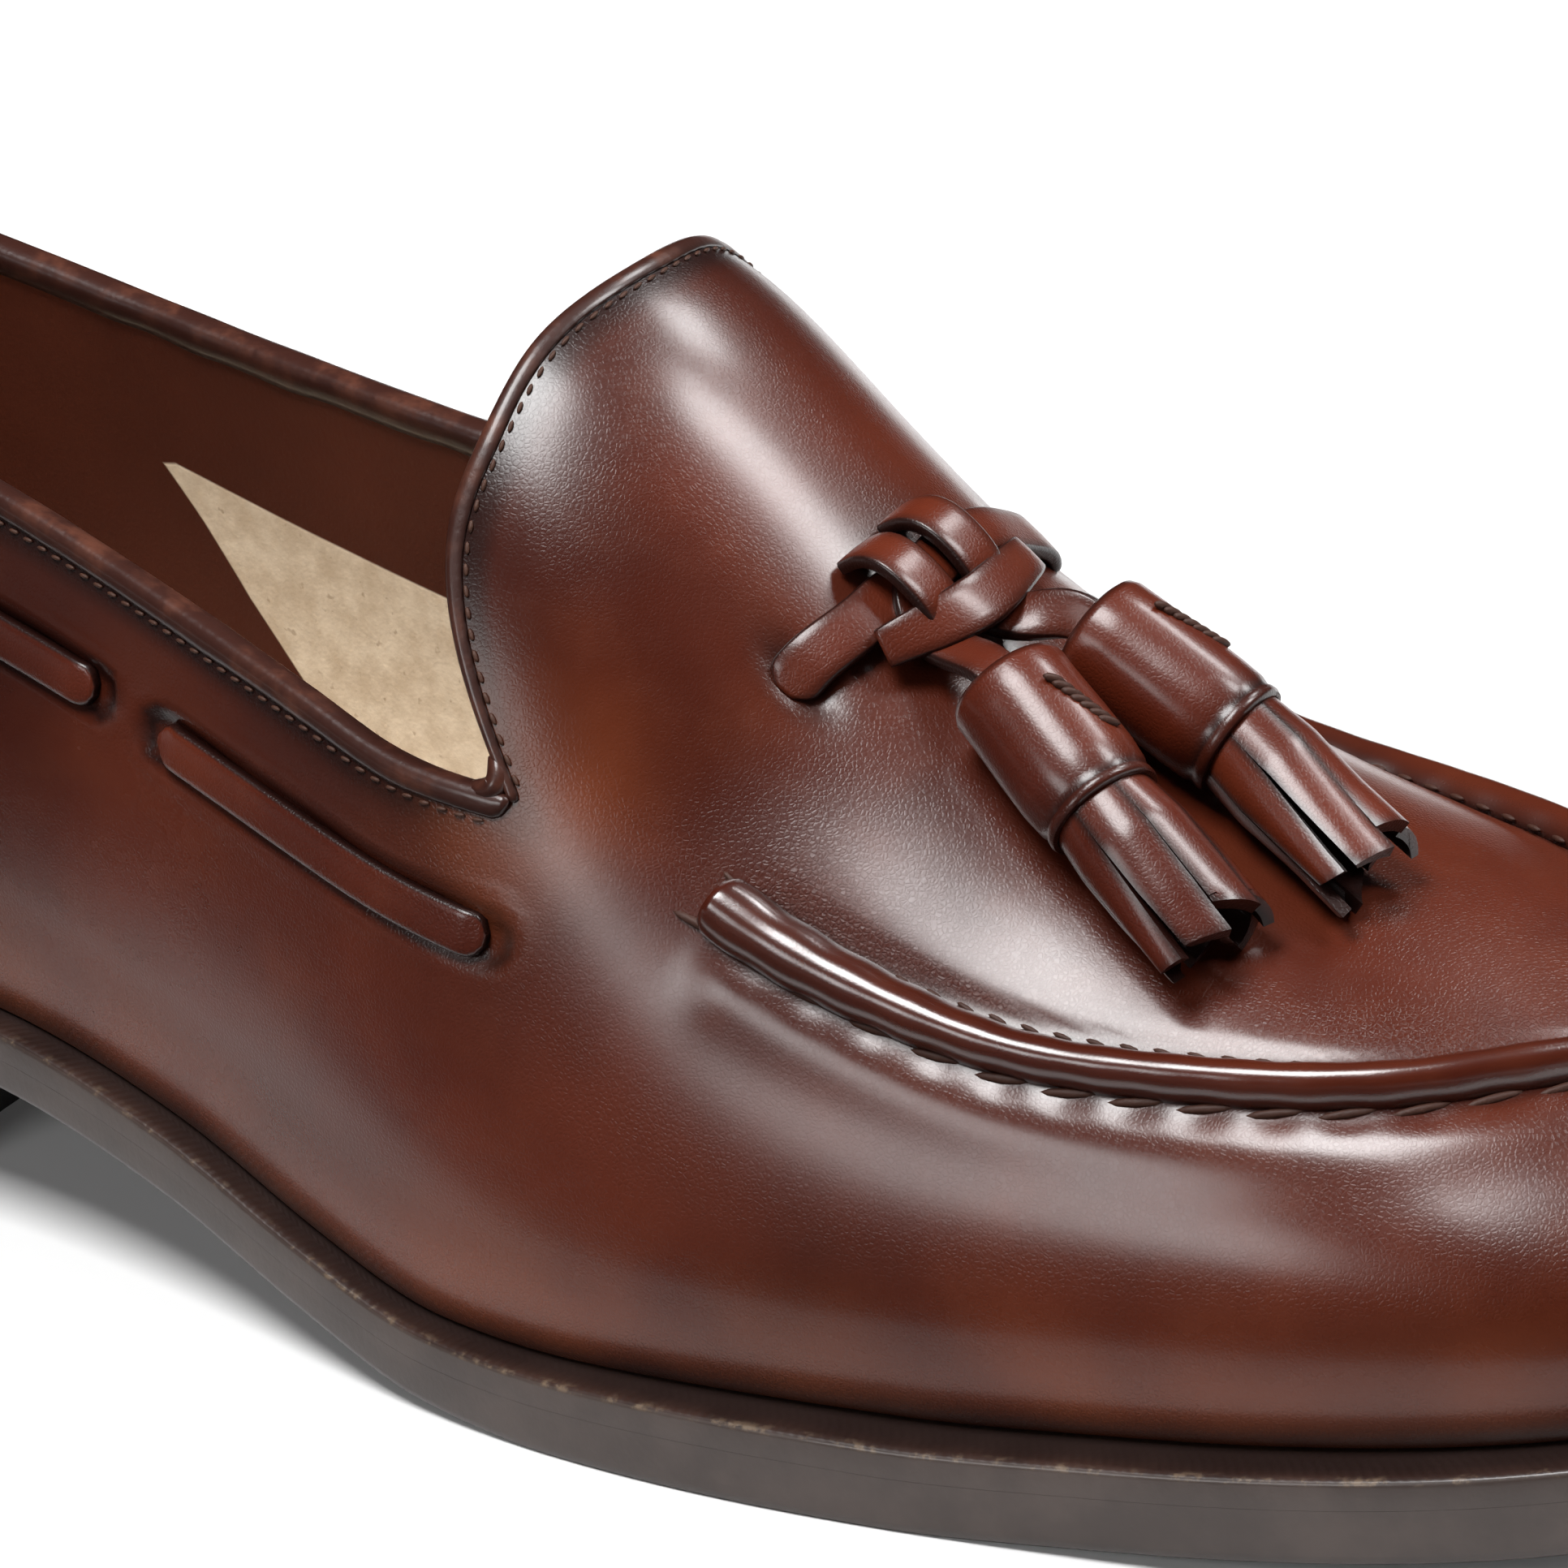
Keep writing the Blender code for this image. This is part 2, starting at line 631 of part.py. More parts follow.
def build_welt():
    """The welt runs all round under the feather line and stops where the insole begins."""
    stations = []
    outer = outline_points(0, SHOE_LENGTH, 0)
    trimmed = outline_points(0, SHOE_LENGTH, WELT_ROUND)
    inner = feather_points(WALL + SEAT_GAP)
    for (ox, oy), (tx, ty), (ix, iy) in zip(outer, trimmed, inner):
        stations.append([
            place(ix, iy, welt_bottom(ix)),
            place(ox, oy, welt_bottom(ox)),
            place(ox, oy, welt_top(ox) - WELT_ROUND),
            place(tx, ty, welt_top(tx)),
            place(ix, iy, welt_top(ix)),
        ])
    return swept("welt", stations, "edge", closed=True)


def build_insole():
    rings = []
    levels = ((0.0, INSOLE_ROUND), (0.12, SEAT_GAP), (0.85, SEAT_GAP), (1.0, INSOLE_ROUND))
    thickness = WELT_THICKNESS + INSOLE_ABOVE_WELT
    for level, inset in levels:
        ring = []
        for x, y in feather_points(WALL + SEAT_GAP + inset):
            ring.append((x, y, welt_bottom(x) + level * thickness))
        rings.append(ring)
    return plate("insole", rings, "lining")


def heel_outline(inset, columns=18):
    """The heel's outline with a slightly hollow breast, as (distance, side) pairs."""
    points = []
    last = turn_of((HEEL_LENGTH - inset) / SHOE_LENGTH)
    for side in ("lateral", "medial"):
        run = []
        for i in range(columns + 1):
            turn = last * i / columns
            x = inset + (SHOE_LENGTH - inset) * share_of(turn)
            run.append((x, inset_half(sole_half(turn, side), turn, inset) * SIDES[side]))
        points += run if side == "lateral" else run[::-1][:-1]
        if side == "lateral":
            end = run[-1]
            for j in range(1, 6):
                t = j / 6
                far = sole_half(last, "medial") - inset
                y = end[1] * (1 - t) + far * t
                x = end[0] - BREAST_CURVE * math.sin(math.pi * t)
                points.append((x, y))
    return points


def build_heel(name, low, high_of, inset_low, inset_high, slot, rows=3):
    """A heel layer between a flat lower face and a height that may follow the outsole."""
    rings = []
    for r in range(rows):
        t = r / (rows - 1)
        inset = inset_low + (inset_high - inset_low) * t
        rings.append([(x, y, low + (high_of(x) - low) * t) for x, y in heel_outline(inset)])
    vertices = [place(*p) for ring in rings for p in ring]
    count = len(rings[0])
    faces = grid_faces(rows, count, close_columns=True)
    faces.append(list(range(count)))
    faces.append(list(range(len(vertices) - count, len(vertices))))
    return add_object(name, vertices, faces, slot)


def rim_place(turn, side, up, next_turn, next_up):
    """A place on an edge of the upper, and the next one on the leather, as points and normals."""
    return (upper_point(turn, side, up), surface_normal(turn, side, up),
            upper_point(next_turn, side, next_up), surface_normal(next_turn, side, next_up))


def edge_path(side):
    """Places along the topline from the heel's back to just behind the corner."""
    behind, _ = upper_columns()
    path = []
    for x in behind[:-1]:
        turn = upper_turn(x)
        up = ring_top(x, side)
        path.append(rim_place(turn, side, up, turn, up * (1 - 1 / RING_ROWS)))
    return path


def tongue_path():
    """Places along the tongue's edge from near the lateral corner over the ridge."""
    _, front = upper_columns()
    half = VAMP_ROWS // 2
    path = []
    for side, order in (("lateral", range(1, half + 1)), ("medial", range(half - 1, 0, -1))):
        for r in order:
            rise = r / half
            start = ring_top(CORNER_FROM_HEEL, side)
            up = start + (1 - start) * rise
            turns = [upper_turn(vamp_x(x, rise)) for x in front[:2]]
            path.append(rim_place(turns[0], side, up, turns[1], up))
    return path


def binding(name, path):
    """A folded strip over an edge of the upper, with a lip on each face of the leather."""
    g = BINDING_GAP
    t = BINDING_THICKNESS
    stations = []
    for point, normal, next_point, next_normal in path:
        inner = point - normal * WALL
        down = (next_point - point).normalized()
        inner_down = (next_point - next_normal * WALL - inner).normalized()
        rim = -(down + inner_down).normalized()
        stations.append([
            point + normal * g + down * BINDING_WIDTH,
            point + normal * (g + t) + down * BINDING_WIDTH,
            point + normal * (g + t) + rim * (g - 0.2 * t),
            point + normal * (g + 0.2 * t) + rim * (g + 0.8 * t),
            inner - normal * (g + 0.2 * t) + rim * (g + 0.8 * t),
            inner - normal * (g + t) + rim * (g - 0.2 * t),
            inner - normal * (g + t) + inner_down * BINDING_WIDTH,
            inner - normal * g + inner_down * BINDING_WIDTH,
            inner - normal * g + rim * g,
            point + normal * g + rim * g,
        ])
    return swept(name, stations, "binding")


def build_bindings():
    binding("collar_binding", edge_path("lateral")[::-1] + edge_path("medial")[1:])
    binding("tongue_binding", tongue_path())


def surface_strip(name, centres, width, height, slot, shape):
    """A strip lying on the upper: centres are (distance, side) pairs, shape its section."""
    placed = [surface_at(x, y) for x, y in centres]
    stations = []
    for k, (point, normal) in enumerate(placed):
        before = placed[max(k - 1, 0)][0]
        after = placed[min(k + 1, len(placed) - 1)][0]
        tangent = (after - before).normalized()
        across = tangent.cross(normal).normalized()
        stations.append([point + across * (u * width) + normal * (ON_LEATHER_GAP + v * height)
                         for u, v in shape])
    return swept(name, stations, slot)


def smooth_path(table, count, scale_x, scale_y):
    """Evenly spread points on a smooth curve through a table's along and side columns."""
    knots = np.linspace(0, 1, len(table["along"]))
    xs = natural_spline(knots, table["along"])
    ys = natural_spline(knots, table["side"])
    return [(xs(t) * scale_x, ys(t) * scale_y) for t in np.linspace(0, 1, count)]


def build_roll():
    path = smooth_path(ROLL_PATH, 50, SHOE_LENGTH, BALL_WIDTH)
    surface_strip("moc_roll", path, ROLL_WIDTH, ROLL_HEIGHT, "calf", ROLL_SHAPE)


def spread_strip(name, placed, across, width, thickness, slot, ends=1.0):
    """A strap through middle points, flat along given sideways directions."""
    stations = []
    last = len(placed) - 1
    for k, point in enumerate(placed):
        tangent = (placed[min(k + 1, last)] - placed[max(k - 1, 0)]).normalized()
        side = (across[k] - tangent * across[k].dot(tangent)).normalized()
        lift = tangent.cross(side)
        half = width / 2 * (ends if k in (0, last) else 1)
        stations.append([point + side * (u * half) + lift * (v * thickness / 2)
                         for u, v in ((-1, -1), (1, -1), (1, 1), (-1, 1))])
    return swept(name, stations, slot)


def on_topline(turn, side, drop):
    """Point and normal a drop below the topline, for the lace round the collar."""
    x = upper_x(turn)
    up = up_at_height(turn, side, collar_height(x, side) - drop)
    return upper_point(turn, side, up), surface_normal(turn, side, up)


def collar_strap(name, placed):
    """A flat lace on the side of the shoe, with round ends."""
    stations = []
    last = len(placed) - 1
    for k, (point, normal) in enumerate(placed):
        tangent = (placed[min(k + 1, last)][0] - placed[max(k - 1, 0)][0]).normalized()
        across = tangent.cross(normal).normalized()
        from_end = min(k, last - k)
        width = COLLAR_LACE_WIDTH * (ROUND_ENDS[from_end] if from_end < len(ROUND_ENDS) else 1)
        stations.append([point + across * (u * width) + normal * (ON_LEATHER_GAP + v * LACE_THICKNESS)
                         for u, v in STRAP_SHAPE])
    return swept(name, stations, "calf")


def window_turns(low, high, steps):
    """Turns along a window, with two short steps at each rounded end."""
    tip = COLLAR_LACE_WIDTH * ROUND_END_STEP
    xs = [low, low + tip, low + 2.4 * tip]
    xs += [low + (high - low) * i / steps for i in range(1, steps)]
    xs += [high - 2.4 * tip, high - tip, high]
    return [upper_turn(x) for x in xs]


def build_collar_laces():
    for side in SIDES:
        for window, low, high in zip(*LACE_WINDOWS.values()):
            turns = window_turns(low * CORNER_FROM_HEEL, high * CORNER_FROM_HEEL, 6)
            collar_strap(f"lace_{side}_{window}", [on_topline(t, side, LACE_DROP) for t in turns])
    end = upper_turn(HEEL_WINDOW * CORNER_FROM_HEEL)
    tips = [end, end * 0.985, end * 0.96]
    turns = tips + [end * (1 - i / 9) for i in range(1, 9)]
    placed = [on_topline(t, "lateral", LACE_DROP) for t in turns]
    placed += [on_topline(0, "lateral", LACE_DROP)]
    placed += [on_topline(t, "medial", LACE_DROP) for t in turns[::-1]]
    collar_strap("lace_heel", placed)


def over_surface(along, side, lift):
    """A point a lift over the leather, at shares of the length and of the ball width."""
    point, normal = surface_at(along * SHOE_LENGTH, side * BALL_WIDTH)
    return point + normal * lift


def table_points(table, count, base=0.0):
    """Points on a smooth curve over the leather through a table's rows."""
    knots = np.linspace(0, 1, len(table["along"]))
    curves = [natural_spline(knots, table[c]) for c in ("along", "side", "lift")]
    return [over_surface(*(c(t) for c in curves[:2]), curves[2](t) + base)
            for t in np.linspace(0, 1, count)]


def build_front_lace():
    """The crossing of the front lace from slot to slot, under the knot."""
    points = table_points(FRONT_LACE, 13, ON_LEATHER_GAP + LACE_THICKNESS / 2)
    forward = [Vector((1, 0, -0.75))] * len(points)
    spread_strip("front_lace", points, forward, LACE_WIDTH, LACE_THICKNESS, "calf", 0.6)


def union(target, others):
    """Joins hidden solids into the target as one body."""
    for k, other in enumerate(others):
        join = target.modifiers.new(f"join_{k}", "BOOLEAN")
        join.operation = "UNION"
        join.solver = "EXACT"
        join.object = other
        other.hide_render = True
        other.display_type = "WIRE"


def build_knot():
    """Two loops over the crossing and the band that ties them."""
    band_points = table_points(KNOT_BAND, 9)
    band = spread_strip("lace_knot", band_points, [Vector((1, 0, -0.9))] * len(band_points),
                        LACE_WIDTH, LACE_THICKNESS, "calf", 0.7)
    loops = []
    for side, place_side in LOOP_SIDES.items():
        row = [over_surface(along, place_side, lift) for along, lift in zip(*KNOT_LOOP.values())]
        loops.append(spread_strip(f"guide_loop_{side}", row, [Vector((0, 1, 0))] * len(row),
                                  LOOP_WIDTH, LACE_THICKNESS, "calf"))
    union(band, loops)


def build_tassel(name, top, end, tip, lift_axis):
    """A rolled barrel whose lower edge carries strips, all in one body."""
    axis = (end - top).normalized()
    across = axis.cross(lift_axis).normalized()
    rise = across.cross(axis).normalized()
    around = TASSEL_STRIPS * (STRIP_SEGMENTS + 1)
    mesh = bmesh.new()

    def ring(centre, radius, flatten=1.0, spread=1.0):
        verts = []
        for i in range(around):
            angle = 2 * math.pi * i / around
            verts.append(mesh.verts.new(centre + across * (math.cos(angle) * radius * spread)
                                        + rise * (math.sin(angle) * radius * flatten)))
        return verts

    rings = [ring(top + (end - top) * t, TASSEL_RADIUS * r) for t, r in BARREL_PROFILE]
    mesh.faces.new(rings[0])
    for low, high in zip(rings, rings[1:]):
        for i in range(around):
            j = (i + 1) % around
            mesh.faces.new((low[i], low[j], high[j], high[i]))
    outer = rings[-1]
    inner = ring(end, TASSEL_RADIUS * BARREL_PROFILE[-1][1] - STRIP_THICKNESS)
    mesh.faces.new(inner)
    down = tip - end
    for i in range(around):
        j = (i + 1) % around
        if i % (STRIP_SEGMENTS + 1) == STRIP_SEGMENTS:
            mesh.faces.new((outer[i], outer[j], inner[j], inner[i]))
    for strip in range(TASSEL_STRIPS):
        first = strip * (STRIP_SEGMENTS + 1)
        edge = [first + k for k in range(STRIP_SEGMENTS + 1)]
        rows = [([outer[k % around] for k in edge], [inner[k % around] for k in edge])]
        length = 1.0 - 0.07 * (strip % 2)
        for d, spread, flatten in zip(*STRIP_PROFILE.values()):
            centre = end + down * (d * length)
            lines = []
            for radius in (TASSEL_RADIUS * 0.92, TASSEL_RADIUS * 0.92 - STRIP_THICKNESS):
                line = []
                for k in edge:
                    angle = 2 * math.pi * (k + 0.16 * (first + 1.5 - k)) / around
                    line.append(mesh.verts.new(
                        centre + across * (math.cos(angle) * radius * spread)
                        + rise * (math.sin(angle) * radius * flatten)))
                lines.append(line)
            rows.append(tuple(lines))
        for (low_out, low_in), (high_out, high_in) in zip(rows, rows[1:]):
            for k in range(STRIP_SEGMENTS):
                mesh.faces.new((low_out[k], low_out[k + 1], high_out[k + 1], high_out[k]))
                mesh.faces.new((low_in[k + 1], low_in[k], high_in[k], high_in[k + 1]))
            mesh.faces.new((low_in[0], low_out[0], high_out[0], high_in[0]))
            mesh.faces.new((low_out[-1], low_in[-1], high_in[-1], high_out[-1]))
        tip_out, tip_in = rows[-1]
        for k in range(STRIP_SEGMENTS):
            mesh.faces.new((tip_out[k], tip_out[k + 1], tip_in[k + 1], tip_in[k]))
    vertices = [v.co.copy() for v in mesh.verts]
    mesh.verts.index_update()
    faces = [[v.index for v in f.verts] for f in mesh.faces]
    mesh.free()
    return add_object(name, vertices, faces, "calf")


def build_tassels():
    """Both tassels, lying forward on the vamp, and the lace ends that carry them."""
    for side, ta, ts, ea, es, pa, ps in zip(*TASSELS.values()):
        top = over_surface(ta, ts, TASSEL_LIFT)
        end = over_surface(ea, es, TASSEL_LIFT)
        tip = over_surface(pa, ps, TIP_LIFT)
        _, normal = surface_at(ea * SHOE_LENGTH, es * BALL_WIDTH)
        build_tassel(f"tassel_{side}", top, end, tip, normal)
        start = over_surface(*STEM_STARTS[side])
        axis = (end - top).normalized()
        stop = top - axis * SEAT_GAP
        before = stop - axis * LACE_THICKNESS
        across = axis.cross(normal).normalized()
        spread_strip(f"lace_end_{side}", [start, before, stop], [across] * 3,
                     LACE_WIDTH, LACE_THICKNESS, "calf")


def main():
    build_upper()
    build_outsole()
    build_welt()
    build_insole()
    build_heel("top_piece", 0, lambda x: TOP_PIECE_THICKNESS,
               TOP_PIECE_INSET, TOP_PIECE_INSET, "rubber", 2)
    build_heel("heel_stack", TOP_PIECE_THICKNESS + SEAT_GAP, lambda x: sole_bottom(x) - SEAT_GAP,
               TOP_PIECE_INSET, TOP_PIECE_INSET - HEEL_FLARE, "edge", 3)
    build_roll()
    build_bindings()
    build_collar_laces()
    build_front_lace()
    build_knot()
    build_tassels()


for old in list(bpy.data.objects):
    bpy.data.objects.remove(old, do_unlink=True)
MATERIALS = {name: material(name) for name in COLOURS}
main()
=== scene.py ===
# %% [markdown] # A tassel loafer This lesson dresses a packed CAD model of a leather loafer
# for the right foot. Lengths are metres, +X points to the toe and +Y to the inner side of the
# foot.

# %% Load the frame
import math
import bmesh
import bpy
import numpy as np
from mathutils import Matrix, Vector
from mathutils.kdtree import KDTree


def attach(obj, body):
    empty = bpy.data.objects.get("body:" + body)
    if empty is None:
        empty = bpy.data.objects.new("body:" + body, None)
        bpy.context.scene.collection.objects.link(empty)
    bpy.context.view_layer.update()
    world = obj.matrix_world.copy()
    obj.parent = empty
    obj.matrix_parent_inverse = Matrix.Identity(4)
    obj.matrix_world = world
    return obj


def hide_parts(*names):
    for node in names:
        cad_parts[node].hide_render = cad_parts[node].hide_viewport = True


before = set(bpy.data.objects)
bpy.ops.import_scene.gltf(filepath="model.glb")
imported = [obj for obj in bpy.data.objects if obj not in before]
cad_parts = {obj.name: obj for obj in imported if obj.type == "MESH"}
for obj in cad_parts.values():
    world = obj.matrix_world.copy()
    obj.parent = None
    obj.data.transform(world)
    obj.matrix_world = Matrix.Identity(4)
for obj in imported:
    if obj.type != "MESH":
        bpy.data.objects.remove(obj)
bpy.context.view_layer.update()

MM = 0.001
print("nodes:", ", ".join(sorted(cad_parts)))

# %% [markdown]
# ## The last in numbers
# A shoe's form is a family of sections along its length. The same sizes and tables that shape
# the CAD solids are used here, so the fine leather lies on the solid's own surface.

# %% Sizes of sole, last and trim
SHOE_LENGTH = 300 * MM
BALL_WIDTH = 102 * MM
INSTEP_HEIGHT = 106 * MM
COLLAR_HEIGHT = 92 * MM
HEEL_HEIGHT = 26.5 * MM
HEEL_LENGTH = 66.8 * MM
HEEL_SEAT = HEEL_LENGTH / 2
TOE_SPRING = 9.4 * MM
UPPER_BACK = 3.0 * MM
UPPER_FRONT = SHOE_LENGTH - 6.5 * MM
WALL = 2.2 * MM
SEAT_GAP = 0.3 * MM
WELT_THICKNESS = 2.8 * MM
OUTSOLE_THICKNESS = 5.8 * MM
WAIST_THINNING = 2.1 * MM
CORNER_FROM_HEEL = 161 * MM
TONGUE_BLEND = 42 * MM
SWELL_SHARE = 0.22
HEEL_CURVE = 2.6 * MM
HEEL_LEAN = 3.4 * MM
HEEL_CURVE_REACH = 46 * MM
SIDES = {"lateral": -1, "medial": 1}
print("sole:", round(SHOE_LENGTH / MM), "by", round(BALL_WIDTH / MM), "mm")

# %% Tables of sections
OUTLINE = {
    "along": [0, 0.02, 0.07, 0.15, 0.26, 0.38, 0.50, 0.62, 0.74, 0.84, 0.92, 0.97, 1],
    "lateral": [0, 0.180, 0.286, 0.320, 0.342, 0.404, 0.486, 0.508, 0.468, 0.415, 0.333, 0.228, 0],
    "medial": [0, 0.182, 0.286, 0.312, 0.300, 0.266, 0.308, 0.414, 0.484, 0.455, 0.362, 0.244, 0],
}
UNDERSIDE = {
    "along": [0, 0.20, 0.28, 0.37, 0.44, 0.50, 0.56, 0.68, 0.76, 0.86, 1],
    "rise": [0.755, 0.745, 0.672, 0.466, 0.221, 0.045, 0, 0, 0.045, 0.142, 0.355],
    "thin": [1, 1, 1, 0.9, 0.8, 0.55, 0.25, 0, 0, 0, 0.1],
}
SECTIONS = {
    "along": [0, 0.06, 0.16, 0.30, 0.42, 0.515, 0.56, 0.615, 0.677, 0.72, 0.763, 0.814,
              0.866, 0.911, 0.952, 0.98, 1],
    "margin": [1.1, 1.1, 1.2, 1.35, 1.5, 1.6, 1.75, 1.95, 2.1, 2.15, 2.15, 2.15,
               2.1, 2.0, 1.9, 1.8, 1.8],
    "ridge": [1.06, 1.08, 1.11, 1.10, 1.03, 0.994, 0.915, 0.772, 0.645, 0.573, 0.521, 0.482,
              0.438, 0.398, 0.352, 0.298, 0.165],
    "lean": [0, 0, 0, 0.01, 0.015, 0.015, 0.015, 0.02, 0.02, 0.03, 0.03, 0.03,
             0.02, 0.01, 0, 0, 0],
}
LATERAL_SIDE = {
    "along": SECTIONS["along"],
    "swell": [0, 0.5, 0.55, 0.5, 0.5, 0.55, 0.6, 0.65, 0.7, 0.7, 0.7, 0.7, 0.65, 0.6, 0.45, 0.3, 0],
    "up": [6.6, 6.6, 6.5, 6.2, 5.6, 4.8, 4.4, 4.0, 3.8, 3.7, 3.6, 3.4, 3.2, 3.0, 2.4, 1.6, 0],
    "wall": [0.48, 0.48, 0.46, 0.42, 0.34, 0.30, 0.30, 0.30, 0.32, 0.36, 0.40, 0.45,
             0.50, 0.52, 0.54, 0.55, 0.55],
    "crown": [0.74, 0.74, 0.74, 0.74, 0.78, 0.745, 0.665, 0.60, 0.60, 0.64, 0.68, 0.70,
              0.70, 0.66, 0.60, 0.56, 0.55],
}
MEDIAL_SIDE = {
    "along": SECTIONS["along"],
    "swell": [0, 0.5, 0.6, 1.0, 1.8, 2.3, 2.2, 1.5, 0.9, 0.7, 0.7, 0.7, 0.65, 0.6, 0.45, 0.3, 0],
    "up": [6.6, 6.6, 6.6, 7.5, 9.0, 9.5, 8.5, 6.5, 4.6, 4.0, 3.7, 3.4, 3.2, 3.0, 2.4, 1.6, 0],
    "wall": [0.48, 0.48, 0.46, 0.42, 0.36, 0.32, 0.32, 0.32, 0.34, 0.36, 0.40, 0.45,
             0.50, 0.52, 0.54, 0.55, 0.55],
    "crown": [0.74, 0.74, 0.74, 0.80, 0.91, 0.93, 0.68, 0.58, 0.60, 0.64, 0.68, 0.70,
              0.70, 0.66, 0.60, 0.56, 0.55],
}
TOPLINE = {
    "along": [0, 0.08, 0.16, 0.24, 0.32, 0.40, 0.50, 0.58, 0.66, 0.75, 0.84, 0.92, 1],
    "lateral": [1.0, 0.985, 0.972, 0.967, 0.963, 0.955, 0.924, 0.890, 0.851, 0.807, 0.764, 0.722,
                0.700],
    "medial": [1.0, 0.990, 0.970, 0.942, 0.909, 0.876, 0.842, 0.822, 0.801, 0.772, 0.738, 0.716,
               0.712],
}
TONGUE_EDGE = {
    "up": [0, 0.10, 0.20, 0.35, 0.50, 0.70, 0.85, 1],
    "back": [0, 0.030, 0.053, 0.069, 0.066, 0.061, 0.052, 0.047],
}
ROLL_PATH = {
    "along": [0.607, 0.647, 0.691, 0.736, 0.788, 0.818, 0.844, 0.872, 0.888, 0.894,
              0.888, 0.872, 0.844, 0.818, 0.788, 0.736, 0.691, 0.647, 0.607],
    "side": [-0.348, -0.342, -0.330, -0.310, -0.274, -0.242, -0.195, -0.113, -0.045, 0.020,
             0.085, 0.150, 0.225, 0.265, 0.292, 0.318, 0.328, 0.326, 0.318],
}
print("sections along the last:", len(SECTIONS["along"]))

# %% A smooth curve through a table
def natural_spline(xs, ys):
    """A smooth curve through the points, straight at its ends, as a function."""
    xs = np.asarray(xs, float)
    ys = np.asarray(ys, float)
    n = len(xs)
    gaps = np.diff(xs)
    system = np.eye(n)
    right = np.zeros(n)
    for i in range(1, n - 1):
        system[i, i - 1:i + 2] = gaps[i - 1], 2 * (gaps[i - 1] + gaps[i]), gaps[i]
        right[i] = 6 * ((ys[i + 1] - ys[i]) / gaps[i] - (ys[i] - ys[i - 1]) / gaps[i - 1])
    bend = np.linalg.solve(system, right)

    def curve(x):
        i = np.clip(np.searchsorted(xs, x) - 1, 0, n - 2)
        h = gaps[i]
        a = (xs[i + 1] - x) / h
        b = (x - xs[i]) / h
        return (a * ys[i] + b * ys[i + 1]
                + ((a ** 3 - a) * bend[i] + (b ** 3 - b) * bend[i + 1]) * h * h / 6)

    return curve


def mirrored_spline(xs, ys):
    """A smooth curve that runs level at its last point, as one that is mirrored there."""
    return natural_spline(list(xs) + [2 * xs[-1] - x for x in xs[-2::-1]], list(ys) + list(ys[-2::-1]))


tongue_back = mirrored_spline(TONGUE_EDGE["up"], TONGUE_EDGE["back"])
print("tongue edge half way up:", round(float(tongue_back(0.5)), 3), "of the corner's distance back")

# %% A curve that never overshoots
def level_spline(xs, ys):
    """A curve through the points that never overshoots them, as a function."""
    xs = np.asarray(xs, float)
    ys = np.asarray(ys, float)
    gaps = np.diff(xs)
    rises = np.diff(ys) / gaps
    slopes = np.zeros(len(xs))
    slopes[0] = rises[0]
    slopes[-1] = rises[-1]
    for i in range(1, len(xs) - 1):
        if rises[i - 1] * rises[i] > 0:
            w1 = 2 * gaps[i] + gaps[i - 1]
            w2 = gaps[i] + 2 * gaps[i - 1]
            slopes[i] = (w1 + w2) / (w1 / rises[i - 1] + w2 / rises[i])

    def curve(x):
        x = np.clip(x, xs[0], xs[-1])
        i = np.clip(np.searchsorted(xs, x) - 1, 0, len(xs) - 2)
        h = gaps[i]
        t = (x - xs[i]) / h
        return ((1 + 2 * t) * (1 - t) ** 2 * ys[i] + t * (1 - t) ** 2 * h * slopes[i]
                + t * t * (3 - 2 * t) * ys[i + 1] + t * t * (t - 1) * h * slopes[i + 1])

    return curve


topline = {side: level_spline(TOPLINE["along"], TOPLINE[side]) for side in SIDES}
underside = level_spline(UNDERSIDE["along"], UNDERSIDE["rise"])
thinning = level_spline(UNDERSIDE["along"], UNDERSIDE["thin"])
print("topline at half way, lateral:", round(float(topline["lateral"](0.5)), 3), "of the collar's height")

# %% The tables as functions of the turn
def turn_of(share):
    """The turn from heel (0) to toe (pi) at a share of the length; it rounds both ends."""
    return np.arccos(1 - 2 * np.clip(share, 0.0, 1.0))


def rounded_columns(table):
    """Each column of a table as a smooth function of the turn."""
    turns = turn_of(np.array(table["along"]))
    return {name: natural_spline(turns, column) for name, column in table.items() if name != "along"}


outline = rounded_columns(OUTLINE)
sections = rounded_columns(SECTIONS)
flanks = {"lateral": rounded_columns(LATERAL_SIDE), "medial": rounded_columns(MEDIAL_SIDE)}
print("curves over the turn:", len(outline) + len(sections) + sum(len(f) for f in flanks.values()))

# %% [markdown]
# ## Sole and last as functions
# A shoemaker builds on a last, a solid foot form. It could be sculpted, but the sections of a
# last are smooth curves, so a function of turn, side and share up the section gives every
# point of it. The turn runs from heel to toe and rounds both ends.

# %% Heights of the sole and the feather line
def sole_bottom(x):
    """Height of the tread: up at the heel, flat at the ball, up again at the toe."""
    rise = underside(x / SHOE_LENGTH)
    return np.where(x > SHOE_LENGTH / 2, rise / UNDERSIDE["rise"][-1] * TOE_SPRING, rise * HEEL_HEIGHT)


def outsole_top(x):
    """Height of the outsole's upper face, lower where the waist is thinned."""
    return sole_bottom(x) + OUTSOLE_THICKNESS - WAIST_THINNING * thinning(x / SHOE_LENGTH)


def welt_top(x):
    """Height of the welt's upper face."""
    return outsole_top(x) + SEAT_GAP + WELT_THICKNESS


def feather_height(x):
    """Height of the line where the upper meets the welt."""
    return welt_top(x) + SEAT_GAP


def inset_half(half, turn, inset):
    """A half width drawn in by an inset that fades towards heel and toe, where x draws in."""
    return np.maximum(half - inset * (1 - (1 - np.sin(turn)) ** 2), 0)


